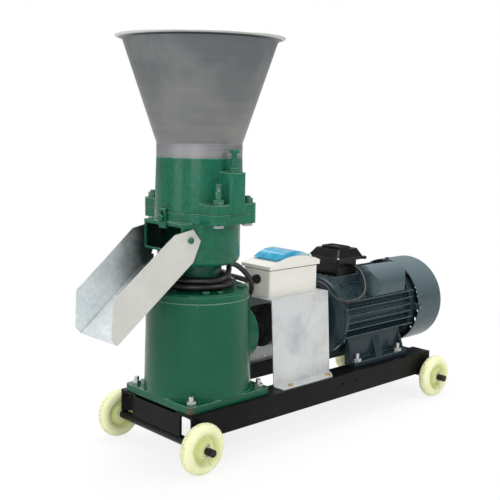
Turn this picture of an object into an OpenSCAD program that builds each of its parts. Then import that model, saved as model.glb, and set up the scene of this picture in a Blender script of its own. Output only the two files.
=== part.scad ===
// Feed pellet mill. A motor drives a flat die through a pinned coupling and bevel gears, on a wheeled frame.
// Sizes are in millimetres. Up is +Z. The rails run along X, and the tower stands near their -X end.

/* [Frame] */
// Length of each side rail
rail_length = 750; // [730:5:800]
// Leg of the angle iron that the rails are made of
rail_leg = 50; // [48:1:54]
// Wall of the angle iron
rail_wall = 5; // [4:0.5:6]
// Width over both rails
frame_width = 230; // [226:1:240]
// From the tower's axis to the front end of the rails
rail_front = 107.5; // [106:0.5:112]
// Diameter of the axle bars
axle_diameter = 18; // [17:0.5:20]
// Depth of the notch in each rail for an axle bar
axle_notch = 1.5; // [1:0.25:3]
// From the front end of the rails to the front axle
front_axle_inset = 9; // [9:0.5:14]
// From the rear end of the rails to the rear axle
rear_axle_inset = 7; // [5:0.5:14]
// Half length of the cross members
crossbar_reach = 77; // [74:0.5:78]

/* [Wheels] */
// Diameter of each wheel
wheel_diameter = 100; // [95:1:110]
// Width of a wheel over its tread
wheel_width = 26; // [22:1:28]
// Gap between a rail and the wheel's inner side
wheel_gap = 6.5; // [5:0.5:9]
// Diameter of the wheel's hub
hub_diameter = 35; // [30:1:38]
// Length of the wheel's hub
hub_length = 27; // [26:0.5:30]
// Thickness of the wheel's web
wheel_web = 8; // [6:1:10]
// How much wider the hub gets towards the web
hub_slope = 3; // [2:0.5:4]
// Diameter of the axle stub that a wheel turns on
stub_diameter = 15; // [13:0.5:16]
// Length of the stub beyond the wheel's hub
stub_tail = 18; // [17:1:24]
// Wire diameter of a split pin
pin_wire = 3; // [2.5:0.25:3.5]
// Length of a split pin's legs below the stub
pin_legs = 16; // [10:1:20]

/* [Gearbox] */
// Side of the square foot of the gearbox
foot_side = 210; // [208:1:214]
// Thickness of that foot
foot_thickness = 14.5; // [12:0.5:18]
// Corner radius of that foot
foot_corner = 8; // [5:1:12]
// Distance of the foot bolts from the tower's axis, along X and Y
foot_bolt_offset = 88; // [87:0.5:92]
// Outside radius of the gearbox at its foot
gearbox_bottom_radius = 108.2; // [106:0.1:112]
// Outside radius of the gearbox at its top
gearbox_top_radius = 103.9; // [103:0.1:106]
// Height of the gearbox body, from the rails to its cover
gearbox_height = 204; // [200:1:215]
// Radius of the cavity that the gears run in
gear_cavity_radius = 94; // [92:0.5:97]
// Radius of the gearbox cover
cover_radius = 101.8; // [100:0.1:103]
// Thickness of the gearbox cover
cover_thickness = 16.5; // [14:0.5:20]
// Radius of the circle that the cover bolts stand on
cover_bolt_circle = 86; // [84:0.5:90]
// Number of cover bolts
cover_bolt_count = 5; // [4:1:8]
// Radius of the boss that carries the pinion shaft
boss_radius = 61; // [56:0.5:64]
// From the tower's axis to the face of that boss
boss_face = 113; // [111:0.5:118]

/* [Gears] */
// Module of the bevel gears at their outer end
gear_module = 3.4; // [3.2:0.05:3.5]
// Teeth of the pinion
pinion_teeth = 10; // [10:1:11]
// Teeth of the bevel gear
gear_teeth = 40; // [36:4:40]
// Pressure angle of the teeth, in degrees
pressure_angle = 20; // [19:0.5:22]
// Height of the bevel gear's teeth above the pitch cone, as a share of the module
gear_addendum_share = 0.56; // [0.5:0.02:0.58]
// Height of the pinion's teeth above the pitch cone, as a share of the module
pinion_addendum_share = 1.2; // [1:0.05:1.24]
// Clearance at the roots, as a share of the module
root_clearance_share = 0.22; // [0.18:0.02:0.3]
// Face width of the gears, as a share of the cone distance
face_width_share = 0.29; // [0.25:0.01:0.3]
// Play between the flanks of meshing teeth
backlash = 0.8; // [0.6:0.1:1]

/* [Shafts and bearings] */
// Height of the motor and pinion axis above the rails
drive_height = 112.3; // [112:0.1:114]
// Diameter of the pinion shaft
pinion_shaft_diameter = 30; // [28:0.5:31]
// Outside diameter of a pinion bearing
pinion_bearing_diameter = 55; // [52:0.5:58]
// Width of a pinion bearing
pinion_bearing_width = 13; // [12:0.5:13]
// Diameter of the main spindle
spindle_diameter = 40; // [36:0.5:42]
// Outside diameter of a spindle bearing
spindle_bearing_diameter = 80; // [76:0.5:82]
// Width of a spindle bearing
spindle_bearing_width = 18; // [16:0.5:19]
// Radial clearance of a piece that turns or slides on another
running_fit = 0.05; // [0.02:0.01:0.1]
// Gap between a soft or sprung piece and what it lies against
seat_gap = 0.3; // [0.2:0.05:0.4]

/* [Pelleting head] */
// Radius of the neck between the gearbox and the head
neck_radius = 46.7; // [46:0.1:50]
// Height of that neck
neck_height = 50; // [46:0.5:56]
// Outside radius of the discharge housing
housing_radius = 82.6; // [81:0.1:85]
// Height of the discharge housing over its flange
housing_height = 106; // [102:0.5:112]
// Corner radius under the discharge housing
housing_corner = 16; // [10:1:18]
// Thickness of the floor of the discharge housing
housing_floor = 10; // [8:0.5:14]
// Radius of the flange between the two halves of the head
flange_radius = 88.5; // [86.5:0.1:91]
// Thickness of the flange on the lower half
lower_flange = 20; // [16:0.5:22]
// Thickness of the flange pads on the upper half
upper_flange = 18; // [14:0.5:22]
// Half length of a flange pad
pad_reach_x = 56; // [54:0.5:60]
// From the tower's axis to the end of a flange pad
pad_reach_y = 114; // [112:0.5:118]
// Corner radius of a flange pad
pad_corner = 16; // [12:0.5:18]
// Distance of the flange bolts from the tower's axis, along X
pad_bolt_x = 37; // [35:0.5:41]
// Distance of the flange bolts from the tower's axis, along Y
pad_bolt_y = 101; // [99:0.5:103]
// Outside radius of the pressing chamber at its flange
chamber_bottom_radius = 88; // [86:0.1:90]
// Outside radius of the pressing chamber at its top
chamber_top_radius = 84.5; // [84:0.1:87]
// Inside radius of the pressing chamber
chamber_bore_radius = 76; // [75.8:0.1:77.5]
// Height of the pressing chamber above the flange joint
chamber_height = 103.5; // [98:0.5:108]
// Half width of the lugs for the adjusting screws
lug_half_width = 19.5; // [17:0.5:21]
// From the tower's axis to the end of a lug
lug_reach = 118; // [117:0.5:122]
// Corner radius of a lug
lug_corner = 8; // [6:0.5:12]
// Height of a lug above the flange joint
lug_height = 78; // [74:0.5:82]

/* [Die and rollers] */
// Diameter of the flat die
die_diameter = 150; // [148:0.5:150.5]
// Thickness of the flat die
die_thickness = 22; // [20:0.5:24]
// Diameter of the holes through the die
die_hole = 6; // [3:0.5:6.5]
// Rings of holes in the die
die_rings = 3; // [2:1:3]
// Diameter of each press roller
roller_diameter = 70; // [66:0.5:72]
// Width of each press roller
roller_width = 38; // [34:0.5:39]
// From the tower's axis to the middle of a roller
roller_offset = 45; // [44:0.5:46]
// Gap between the die and the rollers at rest
roller_gap = 0.5; // [0.4:0.1:1]
// How far the screws let the rollers rise
roller_lift = 6; // [4:0.5:7]
// Diameter of the shaft that the rollers turn on
roller_shaft_diameter = 25; // [24:0.5:26]
// Grooves along the face of a roller
roller_grooves = 24; // [16:2:30]
// Diameter of the adjusting screws
screw_diameter = 10; // [9:0.5:11]

/* [Discharge duct and cutter] */
// From the tower's axis to the mouth of the duct
duct_mouth = 89.5; // [89.1:0.1:92]
// Half width of the duct
duct_half_width = 60; // [56:0.5:61]
// Height of the duct's underside above the bottom of the housing
duct_rise = 29; // [28:0.5:32]
// Wall of the duct
duct_wall = 4.5; // [4:0.5:6]
// Width of the cutter strap
cutter_width = 21; // [18:0.5:24]
// Thickness of the cutter strap
cutter_thickness = 3; // [2.5:0.25:3.5]
// How far the cutter can be lowered
cutter_travel = 10; // [6:0.5:11]

/* [Chute] */
// Length of the chute's floor
chute_length = 217; // [200:1:230]
// Slope of the chute at rest, in degrees
chute_slope = 38.96; // [37:0.5:41]
// Height of the chute's cheeks, square to its floor
cheek_height = 71; // [66:1:76]
// Half width of the chute at its tip
chute_tip_half_width = 60; // [56:0.5:62]
// Half width of the chute at its ears
chute_ear_half_width = 68; // [67:0.5:70]
// Length of the slanted front corner of the cheeks
cheek_corner = 47; // [40:1:55]
// Height of the cheeks at the tip
cheek_tip_height = 18.6; // [15:0.5:24]
// Thickness of the chute's sheet
chute_sheet = 1.5; // [1.2:0.1:2]
// How far the chute can be lifted, in degrees
chute_lift = 35; // [20:1:36]

/* [Hopper] */
// Outside radius of the hopper's collar
collar_radius = 84.6; // [83:0.1:86]
// Height of the hopper's collar
collar_height = 26.5; // [22:0.5:32]
// Outside radius of the cone at its top
cone_radius = 150; // [140:1:160]
// Height of the cone above the collar
cone_height = 194.5; // [180:0.5:210]
// How far the flared lip stands out beyond the cone
lip_reach = 13.4; // [13:0.1:20]
// Height of the flared lip
lip_height = 5.5; // [4:0.5:8]
// Thickness of the hopper's sheet
hopper_sheet = 1.5; // [1.2:0.1:2]

/* [Motor] */
// From the tower's axis to the motor's front ring
motor_front = 352; // [348:1:360]
// From the front ring to the rear end of the frame
motor_frame_length = 248; // [240:1:256]
// Radius of the motor frame under its fins
frame_radius = 82; // [80:0.5:84]
// From the motor's axis to the tips of the fins
fin_reach = 91; // [88:0.5:93]
// Distance between neighbouring fins
fin_pitch = 16; // [14:0.5:16.5]
// Thickness of a fin
fin_thickness = 3; // [2.5:0.25:4]
// Number of fins on each side
fin_count = 6; // [4:2:6]
// Outside radius of the fan cowl
cowl_radius = 103.3; // [100:0.1:105]
// From the rear end of the frame to the back of the cowl
cowl_overhang = 106; // [104:1:114]
// Length of the fan cowl
cowl_length = 101; // [96:1:104]
// Sheet of the fan cowl
cowl_sheet = 1.5; // [1.2:0.1:2]
// Diameter of the motor shaft
motor_shaft_diameter = 28; // [26:0.5:30]
// From the motor's axis to the outer edge of its feet
feet_reach = 94.7; // [93:0.1:98]
// Thickness of the motor's feet
feet_thickness = 10.5; // [8:0.5:12]

/* [Terminal box and capacitors] */
// From the motor's front ring to the terminal box
terminal_start = 28; // [24:0.5:34]
// Length of the terminal box
terminal_length = 68; // [66:0.5:72]
// Half width of the terminal box
terminal_half_width = 37; // [35:0.5:38]
// Height of the terminal box's top above the motor's axis
terminal_top = 125.2; // [122:0.2:128]
// Overhang of the terminal box's lid
terminal_overhang = 11; // [9:0.5:12]
// Height of the terminal box's lid
terminal_lid_height = 24.5; // [22:0.5:27]
// Length of the capacitor hood
hood_length = 124; // [118:1:130]
// Radius of the capacitor hood's round side
hood_round = 44; // [42:0.5:46]
// Diameter of the lead from the motor to the control box
lead_diameter = 6.5; // [6:0.25:7]

/* [Control box] */
// From the tower's axis to the near end of the bracket
bracket_start = 140; // [138:0.5:144]
// Length of the bracket's top
bracket_length = 173; // [168:1:176]
// Height of the bracket above the rails
bracket_height = 183.5; // [180:0.5:188]
// Half width of the bracket's top
bracket_top_half_width = 70; // [66:0.5:72]
// Half width of the bracket where its legs meet the feet
bracket_foot_half_width = 82; // [80:0.5:84]
// Half width over the bracket's feet
bracket_reach = 110; // [106:0.5:112]
// Sheet of the bracket
bracket_sheet = 2; // [1.5:0.1:2.5]
// Length of the control box
box_length = 145.5; // [140:0.5:148]
// Width of the control box
box_width = 81; // [78:0.5:86]
// Height of the control box under its lid
box_height = 59; // [56:0.5:64]
// Wall of the control box
box_wall = 3; // [2.5:0.1:3.5]
// Gap between the box and the bracket's near end
box_inset = 12.5; // [11:0.5:14]
// How far the box stands off the middle of the bracket
box_shift = 9.5; // [6:0.5:12]
// Overhang of the box's lid
lid_overhang = 3.5; // [3:0.25:4.5]
// Height of the lid's straight rim
lid_rim = 7; // [6:0.5:8]
// Height of the lid's crown above its rim
lid_crown = 16.2; // [14:0.2:18]
// From the window flap to the rear edge of the lid
window_tail = 22.5; // [18.5:0.5:28.5]
// Width of the window flap
window_width = 72; // [66:0.5:74]
// Height of the window flap above its ends
window_rise = 16; // [14:0.5:18]
// How far the window flap opens, in degrees
window_opening = 100; // [60:5:105]

/* [Power cord] */
// Diameter of the power cord
cord_diameter = 11; // [11:0.1:11.2]

/* [Hidden] */
$fn = 48;
// Overrun of every cut
over = 1;
// Gap between close-fitting pieces of one assembly
fit_gap = 0.02;

// Small sizes of the gearbox
boss_root = 2;
pinion_shoulder = 4;
pinion_relief = 3;
level_plug_depth = 2;
level_plug_radius = 2.5;
spindle_play = 4;
cover_bolt_tip = 2;
cap_bolt_inset = 8;
race_groove = 2;
groove_share = 1 / 6;
spacer_length = 8;
spacer_wall = 4;

// Small sizes of the head, the die and the rollers
die_play = 0.5;
die_recess = 2;
spindle_proud = 3;
spindle_clearance = 1;
thrower_rise = 12;
thrower_hub_proud = 2;
thrower_hub_wall = 8;
vane_thickness = 3;
vane_inset = 4;
flange_tail_shares = [4, 1.4];
roller_shoulder = 2;
shaft_flat_gap = 2;
shaft_inset = 8;
slot_play = 1;
screw_rise = 36;

// Small sizes of the duct, the cutter and the chute
duct_root = 40;
duct_roof = 2;
pivot_pad_wall = 3;
pivot_shoulder = 1;
pivot_inset = 1;
pivot_rise = 56.2;
chute_play = 0.5;
chute_head = 2.5;
chute_head_rim = 2;
cheek_overhang = 1;
cutter_drop = 7.5;
cutter_rise = 27;
cutter_bolt_rise = 8;
cutter_hole_inset = 4;
cutter_thread_inset = 6;

// Small sizes of the motor and its feet
rotor_overhang = 64;
rotor_play = 4;
fan_inset = 22;
fan_disc = 3;
fan_blade = 3;
foot_inset = 36;
foot_tail = 23;
foot_web = 6;
foot_rib = 24;
foot_rib_inset = 86;
motor_bolt_insets = [14, 27];
web_inset = 1;
bolt_seat_height = 30;
bolt_seat_play = 1;
bell_edge = 2;
bell_step = 4;
bell_round = 8;
bell_boss_proud = 4;
ear_depth = 8;
cowl_play = 0.2;
cowl_screw_inset = 9;
cowl_screw_length = 14;
frame_flat = 2;
hood_inset = 98;
terminal_gland_inset = 24;
terminal_gland_rise = 31.2;
terminal_panel_insets = [10, 14, 8];
lid_step = 1;

// Small sizes of the coupling
coupling_pin_inset = 8;
pin_shoulder = 2;
shaft_recess = 2;
motor_shaft_recess = 3;

// Small sizes of the bracket, the control box and the breaker
bracket_screw_insets = [32.5, 25];
bracket_clip_inset = 4;
bracket_hole_rise = 12;
gland_rise = 36;
gland_shoulder = 1;
gland_proud = 4;
lead_entry_inset = 14;
lead_entry_rise = 14;
crown_share = 0.56;
window_inset = 28;
window_margin = 8;
window_seat = 11;
window_ledge = 6;
window_hinge_ledge = 8;
breaker_inset = 24;
breaker_rise = 4;
toggle_inset = 5;
toggle_drop = 2;
toggle_blade = 3;
toggle_blade_inset = 8;
toggle_reach = 5;

// Small sizes of the cord's coil
turn_gap = 0.6;
coil_lift = 0.3;

// Heights of the frame, from the floor up
axle_z = wheel_diameter / 2;
rail_bottom = axle_z + axle_diameter / 2 - axle_notch;
rail_top = rail_bottom + rail_leg;
rail_outer = frame_width / 2;
front_axle_x = front_axle_inset - rail_front;
rear_axle_x = rail_length - rail_front - rear_axle_inset;
wheel_inner = rail_outer + wheel_gap + seat_gap;
wheel_middle = wheel_inner + wheel_width / 2;
pin_gap = 2;
pin_y = wheel_inner + hub_length + pin_gap + pin_wire;
stub_end = wheel_inner + hub_length + stub_tail;
wheel_bore = stub_diameter / 2 + running_fit;

// Gearbox
foot_top = rail_top + foot_thickness;
gearbox_joint = rail_top + gearbox_height;
cover_top = gearbox_joint + cover_thickness;
floor_boss_radius = 42;
floor_boss_height = 18;
cover_spigot = 5;
cover_bolt_start = -120;
oil_plug_angle = -100;
level_plug_angle = -130;
level_plug_drop = 5;

// Hexagon fasteners: thread diameter, width over flats and head height of each size
m6 = [6, 10, 4];
m8 = [8, 13, 5.5];
m10 = [10, 17, 7];
m12 = [12, 19, 10];
bolt_play = 0.5;
thread_tail = 3;

// Bevel gears
drive_z = rail_top + drive_height;
ratio = gear_teeth / pinion_teeth;
pinion_pitch_radius = gear_module * pinion_teeth / 2;
gear_pitch_radius = gear_module * gear_teeth / 2;
taper_share = 1 - face_width_share;
gear_bottom = drive_z - pinion_pitch_radius - 20;
gear_hub_radius = 32;
gear_hub_height = 26;
gear_web = 10;

// Shafts and bearings
pinion_bore_start = boss_face - 1 - 2 * pinion_bearing_width;
cap_radius = 45;
cap_thickness = 6;
lower_bearing_diameter = 62;
lower_bearing_width = 16;
lower_journal = 30;
lower_bearing_z = foot_top + 2;
neck_top = cover_top + neck_height;
bearing_cover = 6;

// Head
housing_top = neck_top + housing_height;
flange_bottom = housing_top - lower_flange;
chamber_top = housing_top + chamber_height;
cavity_radius = die_diameter / 2 + die_play;
cavity_bottom = neck_top + housing_floor;
die_top = housing_top - die_recess;
die_bottom = die_top - die_thickness;
collar_width = 30;
collar_thickness = 12;
spindle_tip_radius = 16;
nut_height = 14;
spindle_tip = die_top + nut_height + spindle_proud;
thrower_radius = 70;
thrower_z = cavity_bottom + thrower_rise;
thrower_thickness = 5;
thrower_vane = 9;
thrower_vanes = 4;
lug_top = housing_top + lug_height;
roller_radius = roller_diameter / 2;
roller_z = die_top + roller_gap + roller_radius;
roller_inner = roller_offset - roller_width / 2;
roller_outer = roller_offset + roller_width / 2;
die_nut_gap = 0.6;
die_nut_flats = (roller_inner - die_nut_gap) * sqrt(3);
roller_bore = roller_shaft_diameter / 2 + running_fit;
shaft_end = lug_reach - shaft_inset;
slot_top = roller_z + roller_shaft_diameter / 2 + roller_lift + slot_play;
screw_y = 102;
screw_head_z = lug_top + screw_rise;
lock_washer = 2;

// Duct and chute
duct_bottom = neck_top + duct_rise;
cutter_inner = duct_mouth + seat_gap;
cutter_middle = -1.5;
cutter_foot_z = die_bottom - cutter_drop;
cutter_top = flange_bottom + cutter_rise;
cutter_bolt_z = flange_bottom + cutter_bolt_rise;
cutter_reach = 52;
pivot_x = -75.6;
pivot_z = neck_top + pivot_rise;
pivot_u = -20.6;
pivot_w = 37.6;
ear_length = 38;
ear_top = 50;
ear_root = 20;
chute_relief = flange_radius + chute_play;
pivot_radius = 4;
chute_side_gap = 0.6;
chute_taper = atan((chute_ear_half_width - chute_tip_half_width) / (chute_length + ear_length));
pivot_pad_end = chute_ear_half_width - chute_sheet - chute_side_gap - (ear_length + pivot_u) * tan(chute_taper);

// Hopper
collar_top = chamber_top + collar_height;
cone_top = collar_top + cone_height;
lip_radius = cone_radius + lip_reach;

// Motor
frame_end = motor_front + motor_frame_length;
cowl_back = frame_end + cowl_overhang;
cowl_front = cowl_back - cowl_length;
bell_start = 337;
bell_radius = 80;
ring_length = 12;
ring_radius = 92;
rotor_fit = motor_shaft_diameter / 2 + running_fit;
rotor_end = frame_end + rotor_overhang;
fan_start = frame_end + fan_inset;
fan_length = 34;
fan_radius = 86;
fan_hub_radius = 26;
fan_blades = 8;
foot_front = motor_front + foot_inset;
foot_rear = frame_end - foot_tail;
foot_wall = 69;
motor_bolt_y = 86;
motor_bolts_x = [foot_front + motor_bolt_insets[0], foot_rear - motor_bolt_insets[1]];

// Coupling
flange_disc_radius = 45;
flange_disc_width = 16;
coupling_boss_radius = 28;
coupling_boss_length = 28;
coupling_pins_count = 6;
coupling_pin_circle = coupling_boss_radius + coupling_pin_inset;
coupling_middle = 187;
coupling_gap = 3;
pinion_shaft_end = coupling_middle - shaft_recess;
motor_shaft_end = coupling_middle + coupling_gap + motor_shaft_recess;

// Terminal box and hood
terminal_x = motor_front + terminal_start;
terminal_base = drive_z + frame_radius - frame_flat;
terminal_z = drive_z + terminal_top;
hood_start = motor_front + hood_inset;

// Control box
bracket_top = rail_top + bracket_height;
box_x = bracket_start + box_inset;
box_y = -box_shift - box_width / 2;
lid_x = box_x - lid_overhang;
lid_y = box_y - lid_overhang;
lid_length = box_length + 2 * lid_overhang;
lid_width = box_width + 2 * lid_overhang;
lid_bottom = bracket_top + box_height;
rim_top = lid_bottom + lid_rim;
crown_z = rim_top + lid_crown;
window_x = lid_x + window_inset;
window_y = lid_y + window_margin;
window_length = lid_length - window_inset - window_tail;
window_end = window_x + window_length;
window_z = rim_top + window_seat;
gland_y = 13;
gland_z = bracket_top + gland_rise;
gland_length = 12.5;

// Power cord. It leaves the gland, lies in loops on the cover's bolts round the neck and arches over
// to hang behind the tower. The coil's places are measured from the tower's axis.
cord_radius = cord_diameter / 2;
cord_sides = 8;
coil_sides = 6;
coil_rings = 24;
coil_start_radius = 80;
coil_start_angle = 35;
coil_pitch = cord_diameter + turn_gap;
coil_turns = 3.55;
coil_reversal = 2.25;
coil_z = cover_top + m8[2] + coil_lift + cord_radius;
cord_seat = 0.05;

// Points of the stretch from the gland to the coil
lead_route = [
  [129, -13, 327], [116.5, -11.2, 329.5], [105, -6, 333.8], [96.5, 1, 336.6], [89, 12, 338.5]
];

// Points of the stretch from the coil to the plug
arch_route = [
  [-2, -75.5, 354.5], [14, -71.5, 360.5], [27.5, -61, 366.5], [39, -48, 370], [52, -36.5, 371],
  [67, -27.5, 370], [82, -23.5, 365], [96, -23.5, 356], [109, -24.5, 344], [119.5, -24.5, 330],
  [127, -21.5, 315], [131, -13.2, 300], [132, -1, 288], [132, 13, 279.5], [132, 28.5, 272.5],
  [131.5, 44, 265], [129.5, 57.5, 254.5], [127.5, 66.5, 241]
];
plug_x = 127;
plug_y = 69;
plug_top = 214;

// Points of the lead from the terminal box to the control box
motor_lead_points = [
  [422.5, -56, 329], [419, -70, 324.5], [414, -83, 316.5], [407, -95, 306], [397.5, -106, 294.5],
  [386, -113, 284], [370, -115.5, 275], [354, -113, 270], [340, -106.5, 268], [328.5, -96.5, 270],
  [321, -84.5, 276], [318.5, -72, 285], [320.5, -60, 295.5], [317, -47, 302.5]
];
// They follow the end of the control box, the nearest to it the most
lead_box_end = 298;
lead_shift = box_x + box_length - lead_box_end;
motor_lead_route = [
  for (i = [0 : len(motor_lead_points) - 1])
    motor_lead_points[i] + [lead_shift * i / (len(motor_lead_points) - 1), 0, 0]
];

// The whole part stands with the middle of its length at the origin
front_limit = -(pivot_x + (chute_length + cheek_overhang - pivot_u) * -cos(chute_slope)
  + (cheek_tip_height - pivot_w) * -sin(chute_slope));
middle_x = (cowl_back - front_limit) / 2;

// Sets a piece that is drawn around the tower's axis in the part's own frame
module placed() {
  translate([-middle_x, 0, 0])
    children();
}

// Draws its children on both sides of the XZ plane
module both_sides() {
  children();
  mirror([0, 1, 0])
    children();
}

// Rod along Y, from y0 to y1
module rod_y(r, y0, y1) {
  translate([0, y0, 0])
    rotate([-90, 0, 0])
      cylinder(h = y1 - y0, r = r);
}

// Rod along X, from x0 to x1
module rod_x(r, x0, x1) {
  translate([x0, 0, 0])
    rotate([0, 90, 0])
      cylinder(h = x1 - x0, r = r);
}

// Rectangle with round corners, as an exact outline
module rounded_rect(x0, x1, y0, y1, r) {
  translate([x0 + r, y0])
    square([x1 - x0 - 2 * r, y1 - y0]);
  translate([x0, y0 + r])
    square([x1 - x0, y1 - y0 - 2 * r]);
  for (x = [x0 + r, x1 - r], y = [y0 + r, y1 - r])
    translate([x, y])
      circle(r);
}

// Hexagon nut or head with its round washer face
module hex(size, height) {
  cylinder(h = height, r = size[1] / sqrt(3), $fn = 6);
}

// Bolt head above z = 0 and its thread down to -depth
module bolt(size, depth) {
  hex(size, size[2]);
  translate([0, 0, -depth])
    cylinder(h = depth, r = size[0] / 2);
}

// Frame

module rail() {
  difference() {
    translate([-rail_front, 0, 0])
      rotate([90, 0, 90])
        linear_extrude(rail_length)
          union() {
            translate([rail_outer - rail_wall, rail_bottom])
              square([rail_wall, rail_leg]);
            translate([rail_outer - rail_leg, rail_top - rail_wall])
              square([rail_leg, rail_wall]);
            difference() {
              translate([rail_outer - 2 * rail_wall, rail_top - 2 * rail_wall])
                square([rail_wall + over, rail_wall + over]);
              translate([rail_outer - 2 * rail_wall, rail_top - 2 * rail_wall])
                circle(rail_wall);
            }
          }
    for (x = [front_axle_x, rear_axle_x])
      translate([x, 0, axle_z])
        {
          rod_y(axle_diameter / 2 + fit_gap, rail_outer - rail_leg - over, rail_outer + over);
          translate([-axle_diameter / 2 - notch_relief, rail_outer - rail_leg - over, rail_bottom - axle_z - over])
            cube([axle_diameter + 2 * notch_relief, rail_leg + 2 * over, axle_notch / 2 + over]);
        }
    for (x = [-foot_bolt_offset, foot_bolt_offset])
      translate([x, foot_bolt_offset, rail_bottom])
        cylinder(h = rail_leg + over, r = m10[0] / 2 + bolt_play);
    for (x = motor_bolts_x)
      translate([x, motor_bolt_y, rail_bottom])
        cylinder(h = rail_leg + over, r = m10[0] / 2 + bolt_play);
    for (x = bracket_screws_x)
      translate([x, bracket_screw_y, rail_bottom])
        cylinder(h = rail_leg + over, r = m6[0] / 2 + bolt_play);
    for (x = [front_hole_x, spare_hole_x, spare_hole_x + spare_hole_pitch])
      translate([x, 0, rail_bottom + spare_hole_rise])
        rod_y(spare_hole_radius, rail_outer - rail_wall - over, rail_outer + over);
  }
}
notch_relief = 1;
bracket_screw_y = 99;
bracket_screws_x = [
  bracket_start + bracket_screw_insets[0],
  bracket_start + bracket_length - bracket_screw_insets[1]
];
front_hole_x = -88;
spare_hole_x = 322;
spare_hole_pitch = 46;
spare_hole_rise = 30;
spare_hole_radius = 3;

module rail_far() {
  color("#1c1c1e")
    placed()
      rail();
}

module rail_near() {
  color("#1c1c1e")
    placed()
      mirror([0, 1, 0])
        rail();
}

crossbar_drop = 43.5;
crossbar_leg = 38;
crossbar_inset = 1;

// Angle under the rails' top legs, its upright leg outermost
module crossbar() {
  top = rail_top - rail_wall;
  translate([0, -crossbar_reach, top - rail_wall])
    cube([crossbar_leg, 2 * crossbar_reach, rail_wall]);
  translate([0, -crossbar_reach, top - crossbar_drop])
    cube([rail_wall, 2 * crossbar_reach, crossbar_drop]);
}

module cross_members() {
  color("#1c1c1e")
    placed() {
      translate([crossbar_inset - rail_front, 0, 0])
        crossbar();
      translate([rail_length - rail_front - crossbar_inset, 0, 0])
        mirror([1, 0, 0])
          crossbar();
    }
}

// Bar under the rails with a turned stub for a wheel at each end
module axle() {
  rod_y(axle_diameter / 2, -rail_outer - wheel_gap, rail_outer + wheel_gap);
  both_sides()
    difference() {
      rod_y(stub_diameter / 2, rail_outer, stub_end);
      translate([0, pin_y, -stub_diameter])
        cylinder(h = 2 * stub_diameter, r = pin_wire / 2 + running_fit);
    }
}

module axles() {
  color("#8a8c8e")
    placed()
      for (x = [front_axle_x, rear_axle_x])
        translate([x, 0, axle_z])
          axle();
}

pin_eye = 3.2;
pin_splay = 24;

// Split pin through a stub, its eye above and its two legs spread below
module split_pin() {
  r = stub_diameter / 2;
  translate([0, 0, -r - over])
    cylinder(h = 2 * r + over + pin_wire, r = pin_wire / 2, $fn = 24);
  translate([0, 0, r + pin_eye + pin_wire])
    rotate([90, 0, 0])
      rotate_extrude($fn = 24)
        translate([pin_eye, 0])
          circle(pin_wire / 2, $fn = 16);
  for (side = [-1, 1])
    translate([0, 0, -r - over])
      rotate([0, 180 + side * pin_splay, 0])
        cylinder(h = pin_legs, r = pin_wire / 3, $fn = 24);
}

module split_pins() {
  color("#55585a")
    placed()
      for (x = [front_axle_x, rear_axle_x], y = [-pin_y, pin_y])
        translate([x, y, axle_z])
          split_pin();
}

// Moulded wheel about the Y axis with a round tread, its outer side at +Y
module wheel() {
  half = wheel_width / 2;
  tread = wheel_diameter / 2 - half;
  hub = hub_diameter / 2;
  rotate([-90, 0, 0])
    rotate_extrude()
      union() {
        translate([tread, 0])
          circle(half);
        translate([wheel_bore, -wheel_web / 2])
          square([tread - wheel_bore, wheel_web]);
        polygon([
          [wheel_bore, -half],
          [hub, -half],
          [hub + hub_slope, 0],
          [hub, hub_length - half],
          [wheel_bore, hub_length - half]
        ]);
      }
}

module wheel_at(x, side) {
  color("#dfe3b4")
    placed()
      translate([x, side * wheel_middle, axle_z])
        mirror([0, side < 0 ? 1 : 0, 0])
          wheel();
}

module wheel_front_near() {
  wheel_at(front_axle_x, -1);
}

module wheel_front_far() {
  wheel_at(front_axle_x, 1);
}

module wheel_rear_near() {
  wheel_at(rear_axle_x, -1);
}

module wheel_rear_far() {
  wheel_at(rear_axle_x, 1);
}

// Gearbox

module gearbox_body() {
  color("#2f7a5c")
    placed()
      difference() {
        union() {
          translate([0, 0, rail_top])
            linear_extrude(foot_thickness)
              rounded_rect(-foot_side / 2, foot_side / 2, -foot_side / 2, foot_side / 2,
                foot_corner);
          difference() {
            translate([0, 0, foot_top])
              cylinder(h = gearbox_joint - foot_top, r1 = gearbox_bottom_radius,
                r2 = gearbox_top_radius);
            translate([0, 0, foot_top])
              cylinder(h = gearbox_joint - rim_depth - foot_top, r = gear_cavity_radius);
            translate([0, 0, foot_top])
              cylinder(h = gearbox_height, r = rim_bore_radius);
          }
          translate([0, 0, foot_top - over])
            cylinder(h = floor_boss_height + over, r = floor_boss_radius);
          translate([0, 0, drive_z])
            rod_x(boss_radius, pinion_bore_start - boss_root, boss_face);
        }
        translate([0, 0, lower_bearing_z])
          cylinder(h = lower_bearing_width + over, r = lower_bearing_diameter / 2 + fit_gap);
        translate([0, 0, drive_z]) {
          rod_x(pinion_bearing_diameter / 2 + fit_gap, pinion_bore_start, boss_face + over);
          rod_x(pinion_bearing_diameter / 2 - pinion_shoulder, pinion_bore_start - pinion_relief, boss_face);
        }
        for (x = [-foot_bolt_offset, foot_bolt_offset], y = [-foot_bolt_offset, foot_bolt_offset])
          translate([x, y, rail_top - over])
            cylinder(h = foot_thickness + 2 * over, r = m10[0] / 2 + bolt_play);
        for (i = [0 : cover_bolt_count - 1])
          rotate([0, 0, cover_bolt_start + i * 360 / cover_bolt_count])
            translate([cover_bolt_circle, 0, gearbox_joint - cover_bolt_depth])
              cylinder(h = cover_bolt_depth + over, r = m8[0] / 2 + fit_gap);
        rotate([0, 0, level_plug_angle])
          translate([gearbox_top_radius - 2 * level_plug_depth, 0, gearbox_joint - level_plug_drop])
            rotate([0, 90, 0])
              cylinder(h = 4 * level_plug_depth, r = level_plug_radius);
      }
}
rim_bore_radius = 77;
rim_depth = 26;
cover_bolt_depth = 14;

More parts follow.
